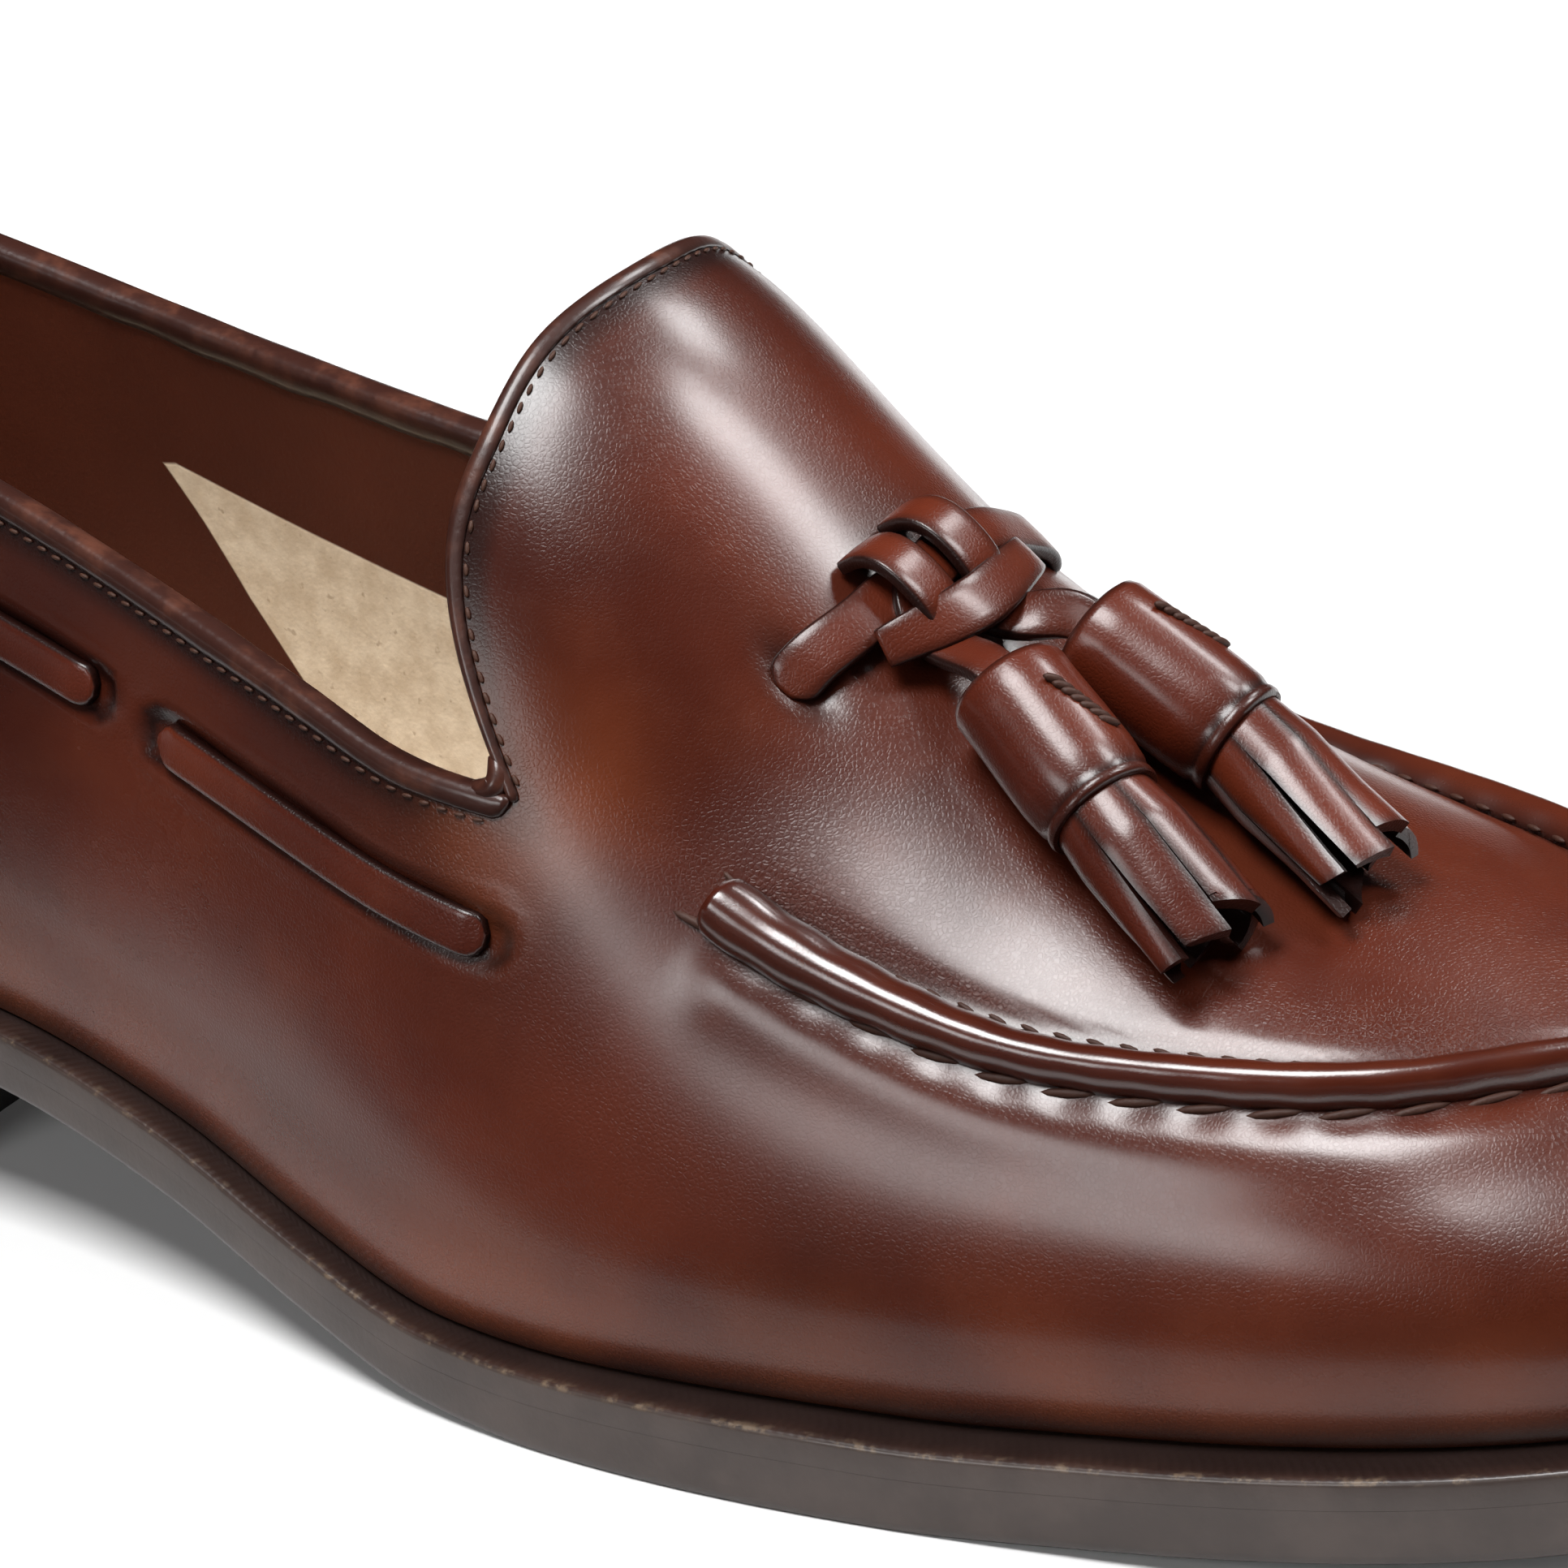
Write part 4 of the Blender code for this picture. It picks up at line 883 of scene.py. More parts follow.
# %% Distances to the lines
def nearest(positions, path, normals, reach):
    """For points within reach of a path: distance over the leather, run along it and side."""
    tree = KDTree(len(path))
    for k, p in enumerate(path):
        tree.insert(p, k)
    tree.balance()
    run = along_lengths(path)
    tangents = unit(np.gradient(path, axis=0))
    across = np.cross(tangents, normals)
    far = np.full(len(positions), 1.0)
    place = np.zeros(len(positions))
    side = np.zeros(len(positions))
    low = path.min(0) - reach
    high = path.max(0) + reach
    for i in np.nonzero(((positions > low) & (positions < high)).all(1))[0]:
        _, k, distance = tree.find(positions[i])
        if distance < reach:
            step = positions[i] - path[k]
            side[i] = step @ across[k]
            place[i] = run[k] + step @ tangents[k]
            beyond = max(-place[i], place[i] - run[-1], 0)
            far[i] = math.hypot(side[i], beyond)
    return far, place, side


def fade(value, start, end):
    """A soft step from 1 at start to 0 at end."""
    t = np.clip((value - start) / (end - start), 0, 1)
    return 1 - t * t * (3 - 2 * t)


def hump(value, centre, half):
    """A soft hump of height 1 that has fallen to about a third at its half width."""
    return np.exp(-((value - centre) / half) ** 2)


print("fade half way:", fade(0.5, 0, 1))

# %% Burnish the edges, and paint shade along the feather line
co = read(skin, "co")
normal = read(skin, "normal")
rim = read(skin, "rim")
push = np.zeros(len(co))
burnish = 0.85 * fade(rim, 1.5 * MM, 6.0 * MM) + 0.25 * fade(rim, 4 * MM, 20 * MM)
height = co[:, 2] - feather_height(co[:, 0] + HEEL_SEAT)
# Painted shade in the crease where the upper turns under to the welt.
burnish += 0.8 * fade(height, 0.5 * MM, 5.0 * MM)
print("points near an edge:", int((burnish > 0.4).sum()))

# %% Draw the leather in along the roll
STITCH_PITCH = 6.7 * MM
ROLL_REACH = 16 * MM
ROLL_SWELL = 0.7 * MM
ROLL_GROOVE = 0.35 * MM
PUCKER = 0.24 * MM

far, place, side = nearest(co, roll_points, roll_normals, ROLL_REACH)
roll_run = along_lengths(roll_points)[-1]
ends = fade(-place, -6 * MM, 0) * fade(place - roll_run, -6 * MM, 0)
ends = np.where((place > 0) & (place < roll_run), ends, 0)
outside = -side if (roll_points[0] - roll_points[len(roll_points) // 2])[0] > 0 else side
outside = np.where(far < ROLL_REACH, outside, 1.0)
stitch = 0.5 + 0.5 * np.cos(2 * math.pi * place / STITCH_PITCH)
push += ends * ROLL_SWELL * hump(outside, 6.0 * MM, 4.0 * MM)
push -= ends * PUCKER * stitch * hump(outside, 3.1 * MM, 1.5 * MM)
push -= ends * ROLL_GROOVE * hump(outside, -3.0 * MM, 1.2 * MM)
# Painted shade in the creases along both sides of the roll.
burnish += ends * (0.75 * hump(outside, 2.4 * MM, 1.1 * MM) + 0.6 * hump(outside, -2.4 * MM, 1.0 * MM))
grain = ends * fade(-outside, 2 * MM, 14 * MM) * fade(outside, -1 * MM, 0)
print("deepest draw along the roll:", round(push.min() / MM, 2), "mm")

# %% Press the windows and the slots
WINDOW_REACH = 9 * MM
WINDOW_DEPTH = 0.75 * MM
WINDOW_LIP = 0.15 * MM
SLOT_DEPTH = 1.1 * MM

for name, (path, lifts) in windows.items():
    far, place, side = nearest(co, path, lifts, WINDOW_REACH)
    run = along_lengths(path)[-1]
    tips = np.where((place < 1.5 * MM) | (place > run - 1.5 * MM), 1.0, 0.0)
    edge = far - COLLAR_LACE_WIDTH / 2
    push -= WINDOW_DEPTH * fade(edge, -0.2 * MM, 0.7 * MM)
    push += WINDOW_LIP * hump(edge, 1.6 * MM, 0.8 * MM)
    # Painted shade on the channel's rim and at the ends where the lace dives in, with the burnish of the cut
    # edge.
    burnish += 0.7 * hump(edge, 0.1 * MM, 0.8 * MM) + 0.25 * tips * fade(edge, 0, 1.8 * MM)

for side, (along, across_place) in SLOTS.items():
    centre = surface_at(along * SHOE_LENGTH, across_place * BALL_WIDTH)[0]
    away = np.hypot(co[:, 0] - centre[0], (co[:, 1] - centre[1]) * 1.9)
    push -= SLOT_DEPTH * hump(away, 0, 3.4 * MM)
    # Painted shade in the pressed slot round the lace's end, with the burnish of its cut edge.
    burnish += 0.95 * hump(away, 0, 4.2 * MM)
print("deepest press:", round(push.min() / MM, 2), "mm")

# %% Painted shade, lighter dye, painted reflection and thinner polish
knot_place = surface_at(0.618 * SHOE_LENGTH, -0.02 * BALL_WIDTH)[0]
# Painted shade on the vamp under and round the knot.
burnish += 0.75 * hump(np.linalg.norm(co - knot_place, axis=1), 0, 9.5 * MM)
corner_place = upper_point(upper_turn(CORNER_FROM_HEEL), "lateral", ring_top(CORNER_FROM_HEEL, "lateral"))
glow = 0.45 * hump(np.linalg.norm(co - corner_place, axis=1), 7 * MM, 7 * MM)
# Painted reflection: the floor's warm light on the low turn of the side, above the welt.
glow += 0.42 * hump(height, 5 * MM, 9 * MM)
# The polish wears off the side of the tongue, the quarter and the turn under the side, and
# painted shade darkens them too.
near_side = fade(co[:, 1], -24 * MM, -14 * MM)
tongue_side = (1 - fade(co[:, 2], 58 * MM, 68 * MM)) * fade(co[:, 1], -28 * MM, -15 * MM)
quarter = near_side * fade(co[:, 0], 60 * MM, 120 * MM) * (1 - fade(height, 12 * MM, 20 * MM))
turn_under = near_side * hump(height, 11 * MM, 6 * MM)
matt = np.maximum(np.maximum(tongue_side, 0.75 * quarter), 0.6 * turn_under)
burnish += 0.15 * tongue_side + 0.12 * quarter + 0.2 * turn_under
skin.vertices.foreach_set("co", (co + normal * push[:, None]).ravel())
for key, values in (("burnish", burnish), ("glow", glow), ("grain", grain), ("matt", matt)):
    write(skin, key, np.clip(values, 0, 1))
finished(placed("upper_leather", skin, CALF), "calf", "upper")
print("points without much polish:", int((matt > 0.5).sum()))

# %% [markdown]
# ## Lining
# Inside, dark calf lines the heel and a band below the topline, and undyed leather lines the
# rest. The seams are lines on the lining, so they are drawn by distances stored on its mesh.

# %% Lining finish
def lining_finish():
    """Undyed leather where the stored distance is above 0, dark calf elsewhere."""
    f = Finish("lining_leather", Specular_IOR_Level=0.15)
    where = f.node("TexCoord", 3)
    mottle = f.noise(where, 260.0, 4.0, 0.65)
    pale = f.mix(f.step(mottle, 0.3, 0.75), (0.56, 0.44, 0.31), (0.74, 0.62, 0.47))
    speck = f.step(f.noise(where, 700.0, 2.0), 0.66, 0.74)
    pale = f.mix(speck * 0.5, pale, (0.30, 0.20, 0.12))
    dark = f.mix(f.noise(where, 60.0), (0.045, 0.009, 0.004), (0.080, 0.018, 0.008))
    seam = f.step(f.attribute("pale"), 0.0, 0.4 * MM)
    fine = f.noise(where, 1800.0, 3.0)
    return f.set(Base_Color=f.mix(seam, dark, pale), Roughness=0.55,
                 Normal=f.bump(fine + seam * 1.5, 0.3, 0.0002))


LINING = lining_finish()
print("finish:", LINING.name)

# %% Lay the lining
HEEL_LINING = {
    "drop": [0, 4.3, 7.7, 12.4, 18.5, 24.8, 32.3, 38.3, 60],
    "front": [39.5, 46.3, 51.8, 56.8, 63.0, 68.4, 74.0, 79.5, 100],
}
BAND = {"x": [60, 160], "depth": [18.3, 26.5]}
points, faces, rims = upper_grid(40, 30, 70, 60, WALL)
inside = welded("upper_lining", points, faces, rim=rims)
inside.flip_normals()
co = read(inside, "co")
drop = read(inside, "rim")
from_heel = co[:, 0] + HEEL_SEAT
heel_front = np.interp(drop / MM, HEEL_LINING["drop"], HEEL_LINING["front"]) * MM
band_depth = np.interp(from_heel / MM, BAND["x"], BAND["depth"]) * MM
pale = np.minimum(from_heel - heel_front, drop - band_depth)
write(inside, "pale", pale)
finished(placed("upper_lining", inside, LINING), "lining")
print("lining:", len(inside.polygons), "faces")

# %% [markdown]
# ## Swept trim
# Bindings, roll and laces are strips with one section, so a single sweep makes them all: a
# path, a sideways and an upward direction at each of its points, and a section outline.

# %% Sweep
def tube_faces(rows, columns, start=0):
    """Quads round the rings of a closed tube, and its two ends."""
    last = start + (rows - 1) * columns
    ends = [list(range(start, start + columns))[::-1], list(range(last, last + columns))]
    return grid_faces(rows, columns, start, close_columns=True) + ends


def sweep(name, path, sideways, lifts, section, finish, widths=1.0, heights=1.0, shades=0.0):
    """A strip through a path: section pairs are across and up, in metres."""
    section = np.asarray(section, float)
    rows, columns = len(path), len(section)
    across = section[None, :, :1] * np.broadcast_to(widths, rows)[:, None, None]
    up = section[None, :, 1:] * np.broadcast_to(heights, rows)[:, None, None]
    rings = path[:, None] + sideways[:, None] * across + lifts[:, None] * up
    # Each section point's darkness: burnish, ink and painted shade.
    burn = {"burnish": np.tile(np.broadcast_to(shades, columns), rows)}
    return turned_out(add_mesh(name, rings, tube_faces(rows, columns), finish, burn))


def frames(path, normals):
    """Unit sideways and upward directions of a strip that lies on the leather."""
    tangents = unit(np.gradient(path, axis=0))
    sideways = unit(np.cross(tangents, normals))
    return sideways, unit(np.cross(sideways, tangents))


def arch(width, height, base, count, square):
    """The outline of a strip with a rounded top and a flat underside."""
    angles = np.linspace(math.pi, 0, count)
    c, s = np.cos(angles), np.sin(angles)
    across = np.sign(c) * np.abs(c) ** (2 / square) * width / 2
    up = base + np.abs(s) ** (2 / square) * height
    return np.stack([across, up], 1)


print("points of a roll's section:", len(arch(ROLL_WIDTH, ROLL_HEIGHT, 0.0, 17, 2.0)))

# %% [markdown]
# ## Lace round the collar
# A flat lace runs in and out of windows below the topline. Only its bars in the windows show,
# so each is a strip of its own that dips into the leather at both ends.

# %% Lace finish and collar laces
LACE = calf("calf_lace", 0.0, 1.0, 1.05, -0.45)
STRAP_HEIGHT = 1.15 * MM
STRAP_BASE = -0.15 * MM
STRAP_DIP = 0.55 * MM
STRAP_SHADES = [1, 1, 0.9, 0.12, 0.05, 0, 0.05, 0.12, 0.9, 1, 1]
strap_section = arch(COLLAR_LACE_WIDTH, STRAP_HEIGHT, STRAP_BASE, len(STRAP_SHADES), 5.0)
for name, (path, lifts) in windows.items():
    tip = from_tips(path)
    sideways, up = frames(path, lifts)
    sunk = path - up * (STRAP_DIP * fade(tip, 0.3 * MM, 3 * MM))[:, None]
    bar = sweep(name + "_strap", sunk, sideways, up, strap_section, LACE, rounded(tip, 1.9 * MM, 0.09),
                shades=STRAP_SHADES)
    finished(bar, "calf", name)
print("collar laces:", len(windows))

# %% [markdown]
# ## Moccasin roll
# The plug of the vamp is sewn to the side with the edge drawn up into a roll. It could be a
# bevelled curve. A sweep lets the section swell between the stitches and widen at its ends.

# %% Moccasin roll
ROLL = calf("calf_roll", 0.1, 0.5, shine=1.0)
sideways, up = frames(roll_points, roll_normals)
tip = from_tips(roll_points)
pinch = 1 - 0.05 * (0.5 + 0.5 * np.cos(2 * math.pi * along_lengths(roll_points) / STITCH_PITCH))
width = pinch * rounded(tip, 0.8 * MM, 0.72)
width = width * (1.22 - 0.34 * fade(-tip, -40 * MM, 0))
# The roll's flanks are painted darker down to the leather, as painted shade.
roll = sweep("vamp_roll", roll_points, sideways, up, arch(ROLL_WIDTH, ROLL_HEIGHT, -0.3 * MM, 17, 2.0),
             ROLL, width, 0.92 + 0.08 * pinch * width, 0.95 * np.abs(np.linspace(-1, 1, 17)) ** 3)
finished(roll, "calf", "moc_roll")
print("roll faces:", len(roll.data.polygons))

# %% [markdown]
# ## Bindings
# The topline and the tongue are bound with a thin dark strip, folded over the edge and sewn
# through, so its section is a U with a fuller outer lip. Cloth simulation could fold it. The
# sweep keeps its edge exactly on the leather's.

# %% Binding finish and sections
def binding_finish():
    """Thin dark calf with a soft shine, worn a little lighter in places."""
    f = Finish("binding_calf", Specular_IOR_Level=0.22, Coat_Roughness=0.18)
    where = f.node("TexCoord", 3)
    worn = f.noise(where, 190.0, 4.0, 0.6)
    colour = f.mix(f.step(worn, 0.45, 0.75), (0.030, 0.009, 0.006), (0.080, 0.026, 0.015))
    fine = f.noise(where, 900.0, 3.0)
    return f.set(Base_Color=f.mix(f.attribute("burnish"), colour, (0.012, 0.005, 0.004)),
                 Roughness=worn * 0.15 + 0.30, Coat_Weight=0.3, Normal=f.bump(fine, 0.35, 0.0002))


BINDING = binding_finish()
EDGE_STEP = 0.8 * MM
U_OUTLINE = [(2.2, 0.02), (2.2, 0.26), (1.9, 0.48), (1.4, 0.66), (0.7, 0.76), (0.0, 0.64), (-0.5, 0.25),
             (-0.75, -0.45), (-0.8, -1.2), (-0.7, -2.0), (-0.4, -2.6), (0.3, -2.95), (1.6, -2.95),
             (2.6, -2.7), (2.7, -2.3), (1.2, -2.22), (0.05, -2.15), (-0.02, -1.1), (0.05, -0.05)]
FLAT_U = [(1.7, 0.02), (1.7, 0.16), (1.5, 0.30), (1.1, 0.42), (0.6, 0.50), (0.05, 0.46), (-0.35, 0.18),
          (-0.56, -0.45), (-0.60, -1.2), (-0.54, -1.9), (-0.3, -2.4), (0.3, -2.75), (1.6, -2.75),
          (2.4, -2.55), (2.5, -2.3), (1.2, -2.22), (0.05, -2.15), (-0.02, -1.1), (0.05, -0.05)]
U_SHADES = [1, 0.9, 0.5, 0.1, 0, 0, 0, 0, 0, 0, 0.2, 0.4, 0.6, 1, 1, 1, 1, 1, 1]
print("points of a binding's section:", len(U_OUTLINE))

# %% Edges as paths
def rim_frames(turn, side, up, lower_turn, lower_up):
    """Points on an edge with the directions down the leather and out of it."""
    point = upper_point(turn, side, up)
    out = surface_normal(turn, side, up)
    down = unit(upper_point(lower_turn, side, lower_up) - point)
    return point, down, unit(out - down * (out * down).sum(-1, keepdims=True))


def collar_edge(side):
    """The topline from the heel to the corner."""
    x = np.linspace(0.0, 1.0, 170) * CORNER_FROM_HEEL
    turn = upper_turn(x)
    up = ring_top(x, side)
    return rim_frames(turn, side, up, turn, up * 0.97)


def tongue_edge(side):
    """The tongue's edge from the corner to its top."""
    rise = np.linspace(0, 1, 90)
    corner = np.full_like(rise, CORNER_FROM_HEEL)
    start = ring_top(corner, side)
    up = start + (1 - start) * rise
    return rim_frames(upper_turn(vamp_x(corner, rise)), side, up,
                      upper_turn(vamp_x(corner + 1.5 * MM, rise)), up)


def both_sides(edge, outward):
    """An edge's lateral and medial halves as one path."""
    order = (slice(None, None, -1), slice(1, None)) if outward else (slice(None), slice(-2, None, -1))
    return [np.concatenate([a[order[0]], b[order[1]]]) for a, b in zip(edge("lateral"), edge("medial"))]


edges = {"collar_binding": both_sides(collar_edge, True), "tongue_binding": both_sides(tongue_edge, False)}
print("topline:", round(along_lengths(edges["collar_binding"][0])[-1] / MM), "mm")

# %% Lay the bindings
wrinkle = np.random.default_rng(5)
for name, (path, down, out) in edges.items():
    path, down, out = spread(path, EDGE_STEP, down, out)
    uneven = np.convolve(wrinkle.normal(0, 1, len(path) + 12), np.hanning(13) / 6, "valid")
    section = np.array(FLAT_U if name == "tongue_binding" else U_OUTLINE) * MM
    width = (1 + 0.05 * uneven) * rounded(from_tips(path), 1.8 * MM, 0.12)
    strip = sweep(name + "_strip", path, unit(down), unit(out), section, BINDING, width,
                  1 + 0.04 * uneven, U_SHADES)
    finished(strip, "binding", name)
    edges[name] = (path, unit(down), unit(out))
print("bindings:", ", ".join(edges))

# %% [markdown]
# ## Corner folds
# Where the two bindings meet at each corner, the tongue's one is turned over the collar's end.
# A short rounded strip, bent from one edge to the other, covers the meeting.

# %% Corner folds
FOLD_REACH = 5.0 * MM
FOLD_RADII = (1.5 * MM, 2.0 * MM)
FOLD_DEPTH = 0.9 * MM


def bent(start, middle, end, t):
    """A curve from start to end that is drawn towards the middle."""
    return (1 - t) ** 2 * start + 2 * t * (1 - t) * middle + t ** 2 * end


for side, last in (("lateral", 0), ("medial", -1)):
    ends = []
    for name, (path, down, out) in edges.items():
        k = 0 if name == "tongue_binding" and side == "lateral" else last
        step = 1 if k == 0 else -1
        far = int(round(FOLD_REACH / EDGE_STEP)) * step + k
        ends.append((path[k], path[far], out[k], out[far]))
    (corner, behind, out_0, out_1), (_, above, _, out_2) = ends
    t = np.linspace(0, 1, 26)[:, None]
    path = bent(behind, corner, above, t)
    sideways, up = frames(path, unit(bent(out_1, out_0, out_2, t)))
    turns = np.linspace(0, 2 * math.pi, 14, endpoint=False)
    section = np.stack([np.cos(turns), np.sin(turns)], 1) * FOLD_RADII
    swell = np.sin(math.pi * np.clip(t[:, 0] * 0.9 + 0.05, 0, 1)) ** 0.35
    fold = sweep(f"corner_fold_{side}", path - up * FOLD_DEPTH, sideways, up, section, BINDING, swell, swell)
    finished(fold, "binding")
print("corner folds reach", round(FOLD_REACH / MM), "mm")

# %% [markdown]
# ## Stitches
# Each stitch is a short bead of thread. Beads could be copied along a curve by hand. Every seam
# is the same rule, a bead at even steps of a line, so one Geometry Nodes tree makes them all
# from a line mesh that carries the leather's normals.

# %% Thread finishes
def thread_finish(name, colour):
    """Twisted thread, painted lighter on its high fibres as a painted highlight."""
    f = Finish(name, Roughness=0.6, Specular_IOR_Level=0.3)
    where = f.node("TexCoord", 3)
    fine = f.noise(where, 1500.0, 3.0)
    return f.set(Base_Color=f.mix(fine, tuple(c * 0.6 for c in colour), colour),
                 Normal=f.bump(fine, 0.5, 0.0002))


WAXED = thread_finish("thread_waxed", (0.046, 0.015, 0.008))
FINE_THREAD = thread_finish("thread_fine", (0.058, 0.021, 0.011))
print("threads:", WAXED.name, FINE_THREAD.name)

# %% Nodes and links of the stitch tree
STITCH_NODES = {
    "given": "NodeGroupInput", "out": "NodeGroupOutput", "curve": "GeometryNodeMeshToCurve",
    "even": "GeometryNodeResampleCurve", "tangent": "GeometryNodeInputTangent",
    "lift": "GeometryNodeInputNamedAttribute", "along": "FunctionNodeAlignRotationToVector",
    "upright": "FunctionNodeAlignRotationToVector", "turn": "FunctionNodeRotateRotation",
    "slant": "ShaderNodeCombineXYZ", "size": "ShaderNodeCombineXYZ", "bead": "GeometryNodeMeshUVSphere",
    "place": "GeometryNodeInstanceOnPoints", "smooth": "GeometryNodeSetShadeSmooth",
    "solid": "GeometryNodeRealizeInstances", "paint": "GeometryNodeSetMaterial",
}
STITCH_LINKS = [
    ("given.Line", "curve.Mesh"), ("curve.Curve", "even.Curve"), ("given.Pitch", "even.Length"),
    ("tangent.Tangent", "along.Vector"), ("along.Rotation", "upright.Rotation"),
    ("lift.Attribute", "upright.Vector"), ("upright.Rotation", "turn.Rotation"),
    ("given.Slant", "slant.Z"), ("slant.Vector", "turn.Rotate By"), ("given.Length", "size.X"),
    ("given.Thickness", "size.Y"), ("given.Thickness", "size.Z"), ("even.Curve", "place.Points"),
    ("bead.Mesh", "place.Instance"), ("turn.Rotation", "place.Rotation"), ("size.Vector", "place.Scale"),
    ("place.Instances", "smooth.Geometry"), ("smooth.Geometry", "solid.Geometry"),
    ("solid.Geometry", "paint.Geometry"), ("given.Finish", "paint.Material"),
    ("paint.Geometry", "out.Stitches"),
]
print("links in the stitch tree:", len(STITCH_LINKS))

# %% Build the stitch tree
def stitch_tree():
    """Beads of thread along a line: pitch, length, thickness, slant and finish are inputs."""
    tree = bpy.data.node_groups.new("stitch_row", "GeometryNodeTree")
    face = tree.interface
    face.new_socket("Line", in_out="INPUT", socket_type="NodeSocketGeometry")
    for label, value in (("Pitch", 2 * MM), ("Length", 1.4 * MM), ("Thickness", 0.5 * MM), ("Slant", 0.0)):
        face.new_socket(label, in_out="INPUT", socket_type="NodeSocketFloat").default_value = value
    face.new_socket("Finish", in_out="INPUT", socket_type="NodeSocketMaterial")
    face.new_socket("Stitches", in_out="OUTPUT", socket_type="NodeSocketGeometry")
    made = {name: tree.nodes.new(kind) for name, kind in STITCH_NODES.items()}
    made["even"].mode = "LENGTH"
    made["lift"].data_type = "FLOAT_VECTOR"
    made["lift"].inputs["Name"].default_value = "lift"
    made["along"].axis = "X"
    made["upright"].axis = "Z"
    made["upright"].pivot_axis = "X"
    made["turn"].rotation_space = "LOCAL"
    for label, value in (("Segments", 8), ("Rings", 8), ("Radius", 0.5)):
        made["bead"].inputs[label].default_value = value
    for source, target in STITCH_LINKS:
        (give, output), (take, socket) = source.split("."), target.split(".")
        tree.links.new(made[give].outputs[output], made[take].inputs[socket])
    return tree


STITCHES = stitch_tree()
print("nodes in the stitch tree:", len(STITCHES.nodes))

# %% Sew the edges and the roll
def sew(name, path, lifts, pitch, length, thickness, slant, finish=FINE_THREAD):
    """A row of thread beads over a path, made a plain mesh."""
    mesh = bpy.data.meshes.new(name + "_line")
    mesh.from_pydata(path.tolist(), [(i, i + 1) for i in range(len(path) - 1)], [])
    layer = mesh.attributes.new("lift", "FLOAT_VECTOR", "POINT")
    layer.data.foreach_set("vector", np.asarray(lifts, np.float32).ravel())
    line = placed(name + "_line", mesh)
    modifier = line.modifiers.new("stitches", "NODES")
    modifier.node_group = STITCHES
    values = {"Pitch": pitch, "Length": length, "Thickness": thickness, "Slant": slant, "Finish": finish}
    for item in STITCHES.interface.items_tree:
        if item.in_out == "INPUT" and item.name in values:
            modifier[item.identifier] = values[item.name]
    view = bpy.context.evaluated_depsgraph_get()
    made = bpy.data.meshes.new_from_object(line.evaluated_get(view), depsgraph=view)
    made.name = name
    bpy.data.objects.remove(line)
    return finished(placed(name, made), "binding")


EDGE_STITCH_DROP = {"collar_binding": 2.7 * MM, "tongue_binding": 2.15 * MM}
EDGE_THREAD = {"pitch": 2.1 * MM, "length": 1.35 * MM, "thickness": 0.48 * MM, "slant": 0.12}
OUTER_THREAD = {"pitch": STITCH_PITCH, "length": 5.9 * MM, "thickness": 1.0 * MM, "slant": 0.13}
INNER_THREAD = {"pitch": STITCH_PITCH / 2, "length": 2.2 * MM, "thickness": 0.6 * MM, "slant": -0.2}
for name, (path, down, out) in edges.items():
    line = path + down * EDGE_STITCH_DROP[name] + out * (0.12 * MM)
    sew(name + "_stitches", line[4:-4], out[4:-4], **EDGE_THREAD)

sideways, up = frames(roll_points, roll_normals)
outward = sideways if (sideways[0, 1] < 0) else -sideways
lower = roll_points + outward * (2.7 * MM) + up * (0.12 * MM)
upper_row = roll_points - outward * (2.6 * MM) + up * (0.25 * MM)
sew("roll_stitches_outer", lower, up, **OUTER_THREAD, finish=WAXED)
sew("roll_stitches_inner", upper_row, up, **INNER_THREAD, finish=WAXED)

# %% [markdown]
# ## Front lace and knot
# A flat lace crosses the vamp between two slots. Two loops hold it, a band ties them, and the
# ends run to the tassels. A rope simulation could tie it. A few points for each strap, as
# shares of the shoe's sizes with a lift over the leather, are easier to put right.

# %% Strap sizes
STRAP_WIDTH = 5.2 * MM
KNOT_WIDTH = 5.4 * MM
STRAP_THICKNESS = 1.55 * MM
STRAP_STEP = 0.45 * MM
KNOT_BAND = {
    "along": [0.626, 0.630, 0.636, 0.639, 0.637, 0.634, 0.631],
    "side": [-0.128, -0.110, -0.075, -0.030, 0.022, 0.060, 0.078],
    "lift": [2.4, 3.6, 4.7, 5.0, 4.3, 3.4, 2.0],
}
KNOT_LOOP = {
    "along": [0.6345, 0.6345, 0.6315, 0.6240, 0.6150, 0.6085, 0.6055],
    "lift": [0.8, 2.8, 4.6, 5.4, 5.2, 3.6, 0.8],
}
LOOP_SIDES = {"lateral": -0.070, "medial": -0.006}
print("strap:", round(STRAP_WIDTH / MM, 1), "by", round(STRAP_THICKNESS / MM, 2), "mm")

# %% Straps over the vamp
def over(along, side, lift):
    """Points at shares of the length and ball width, a lift in millimetres over the leather."""
    points, normals = surface_at(np.asarray(along) * SHOE_LENGTH, np.asarray(side) * BALL_WIDTH)
    return points + normals * (np.asarray(lift)[..., None] * MM), normals


def smooth_table(table, columns, count):
    """Columns of a table as smooth curves, read at an even number of places."""
    knots = np.linspace(0, 1, len(table["along"]))
    t = np.linspace(0, 1, count)
    return [natural_spline(knots, table[c])(t) for c in columns]


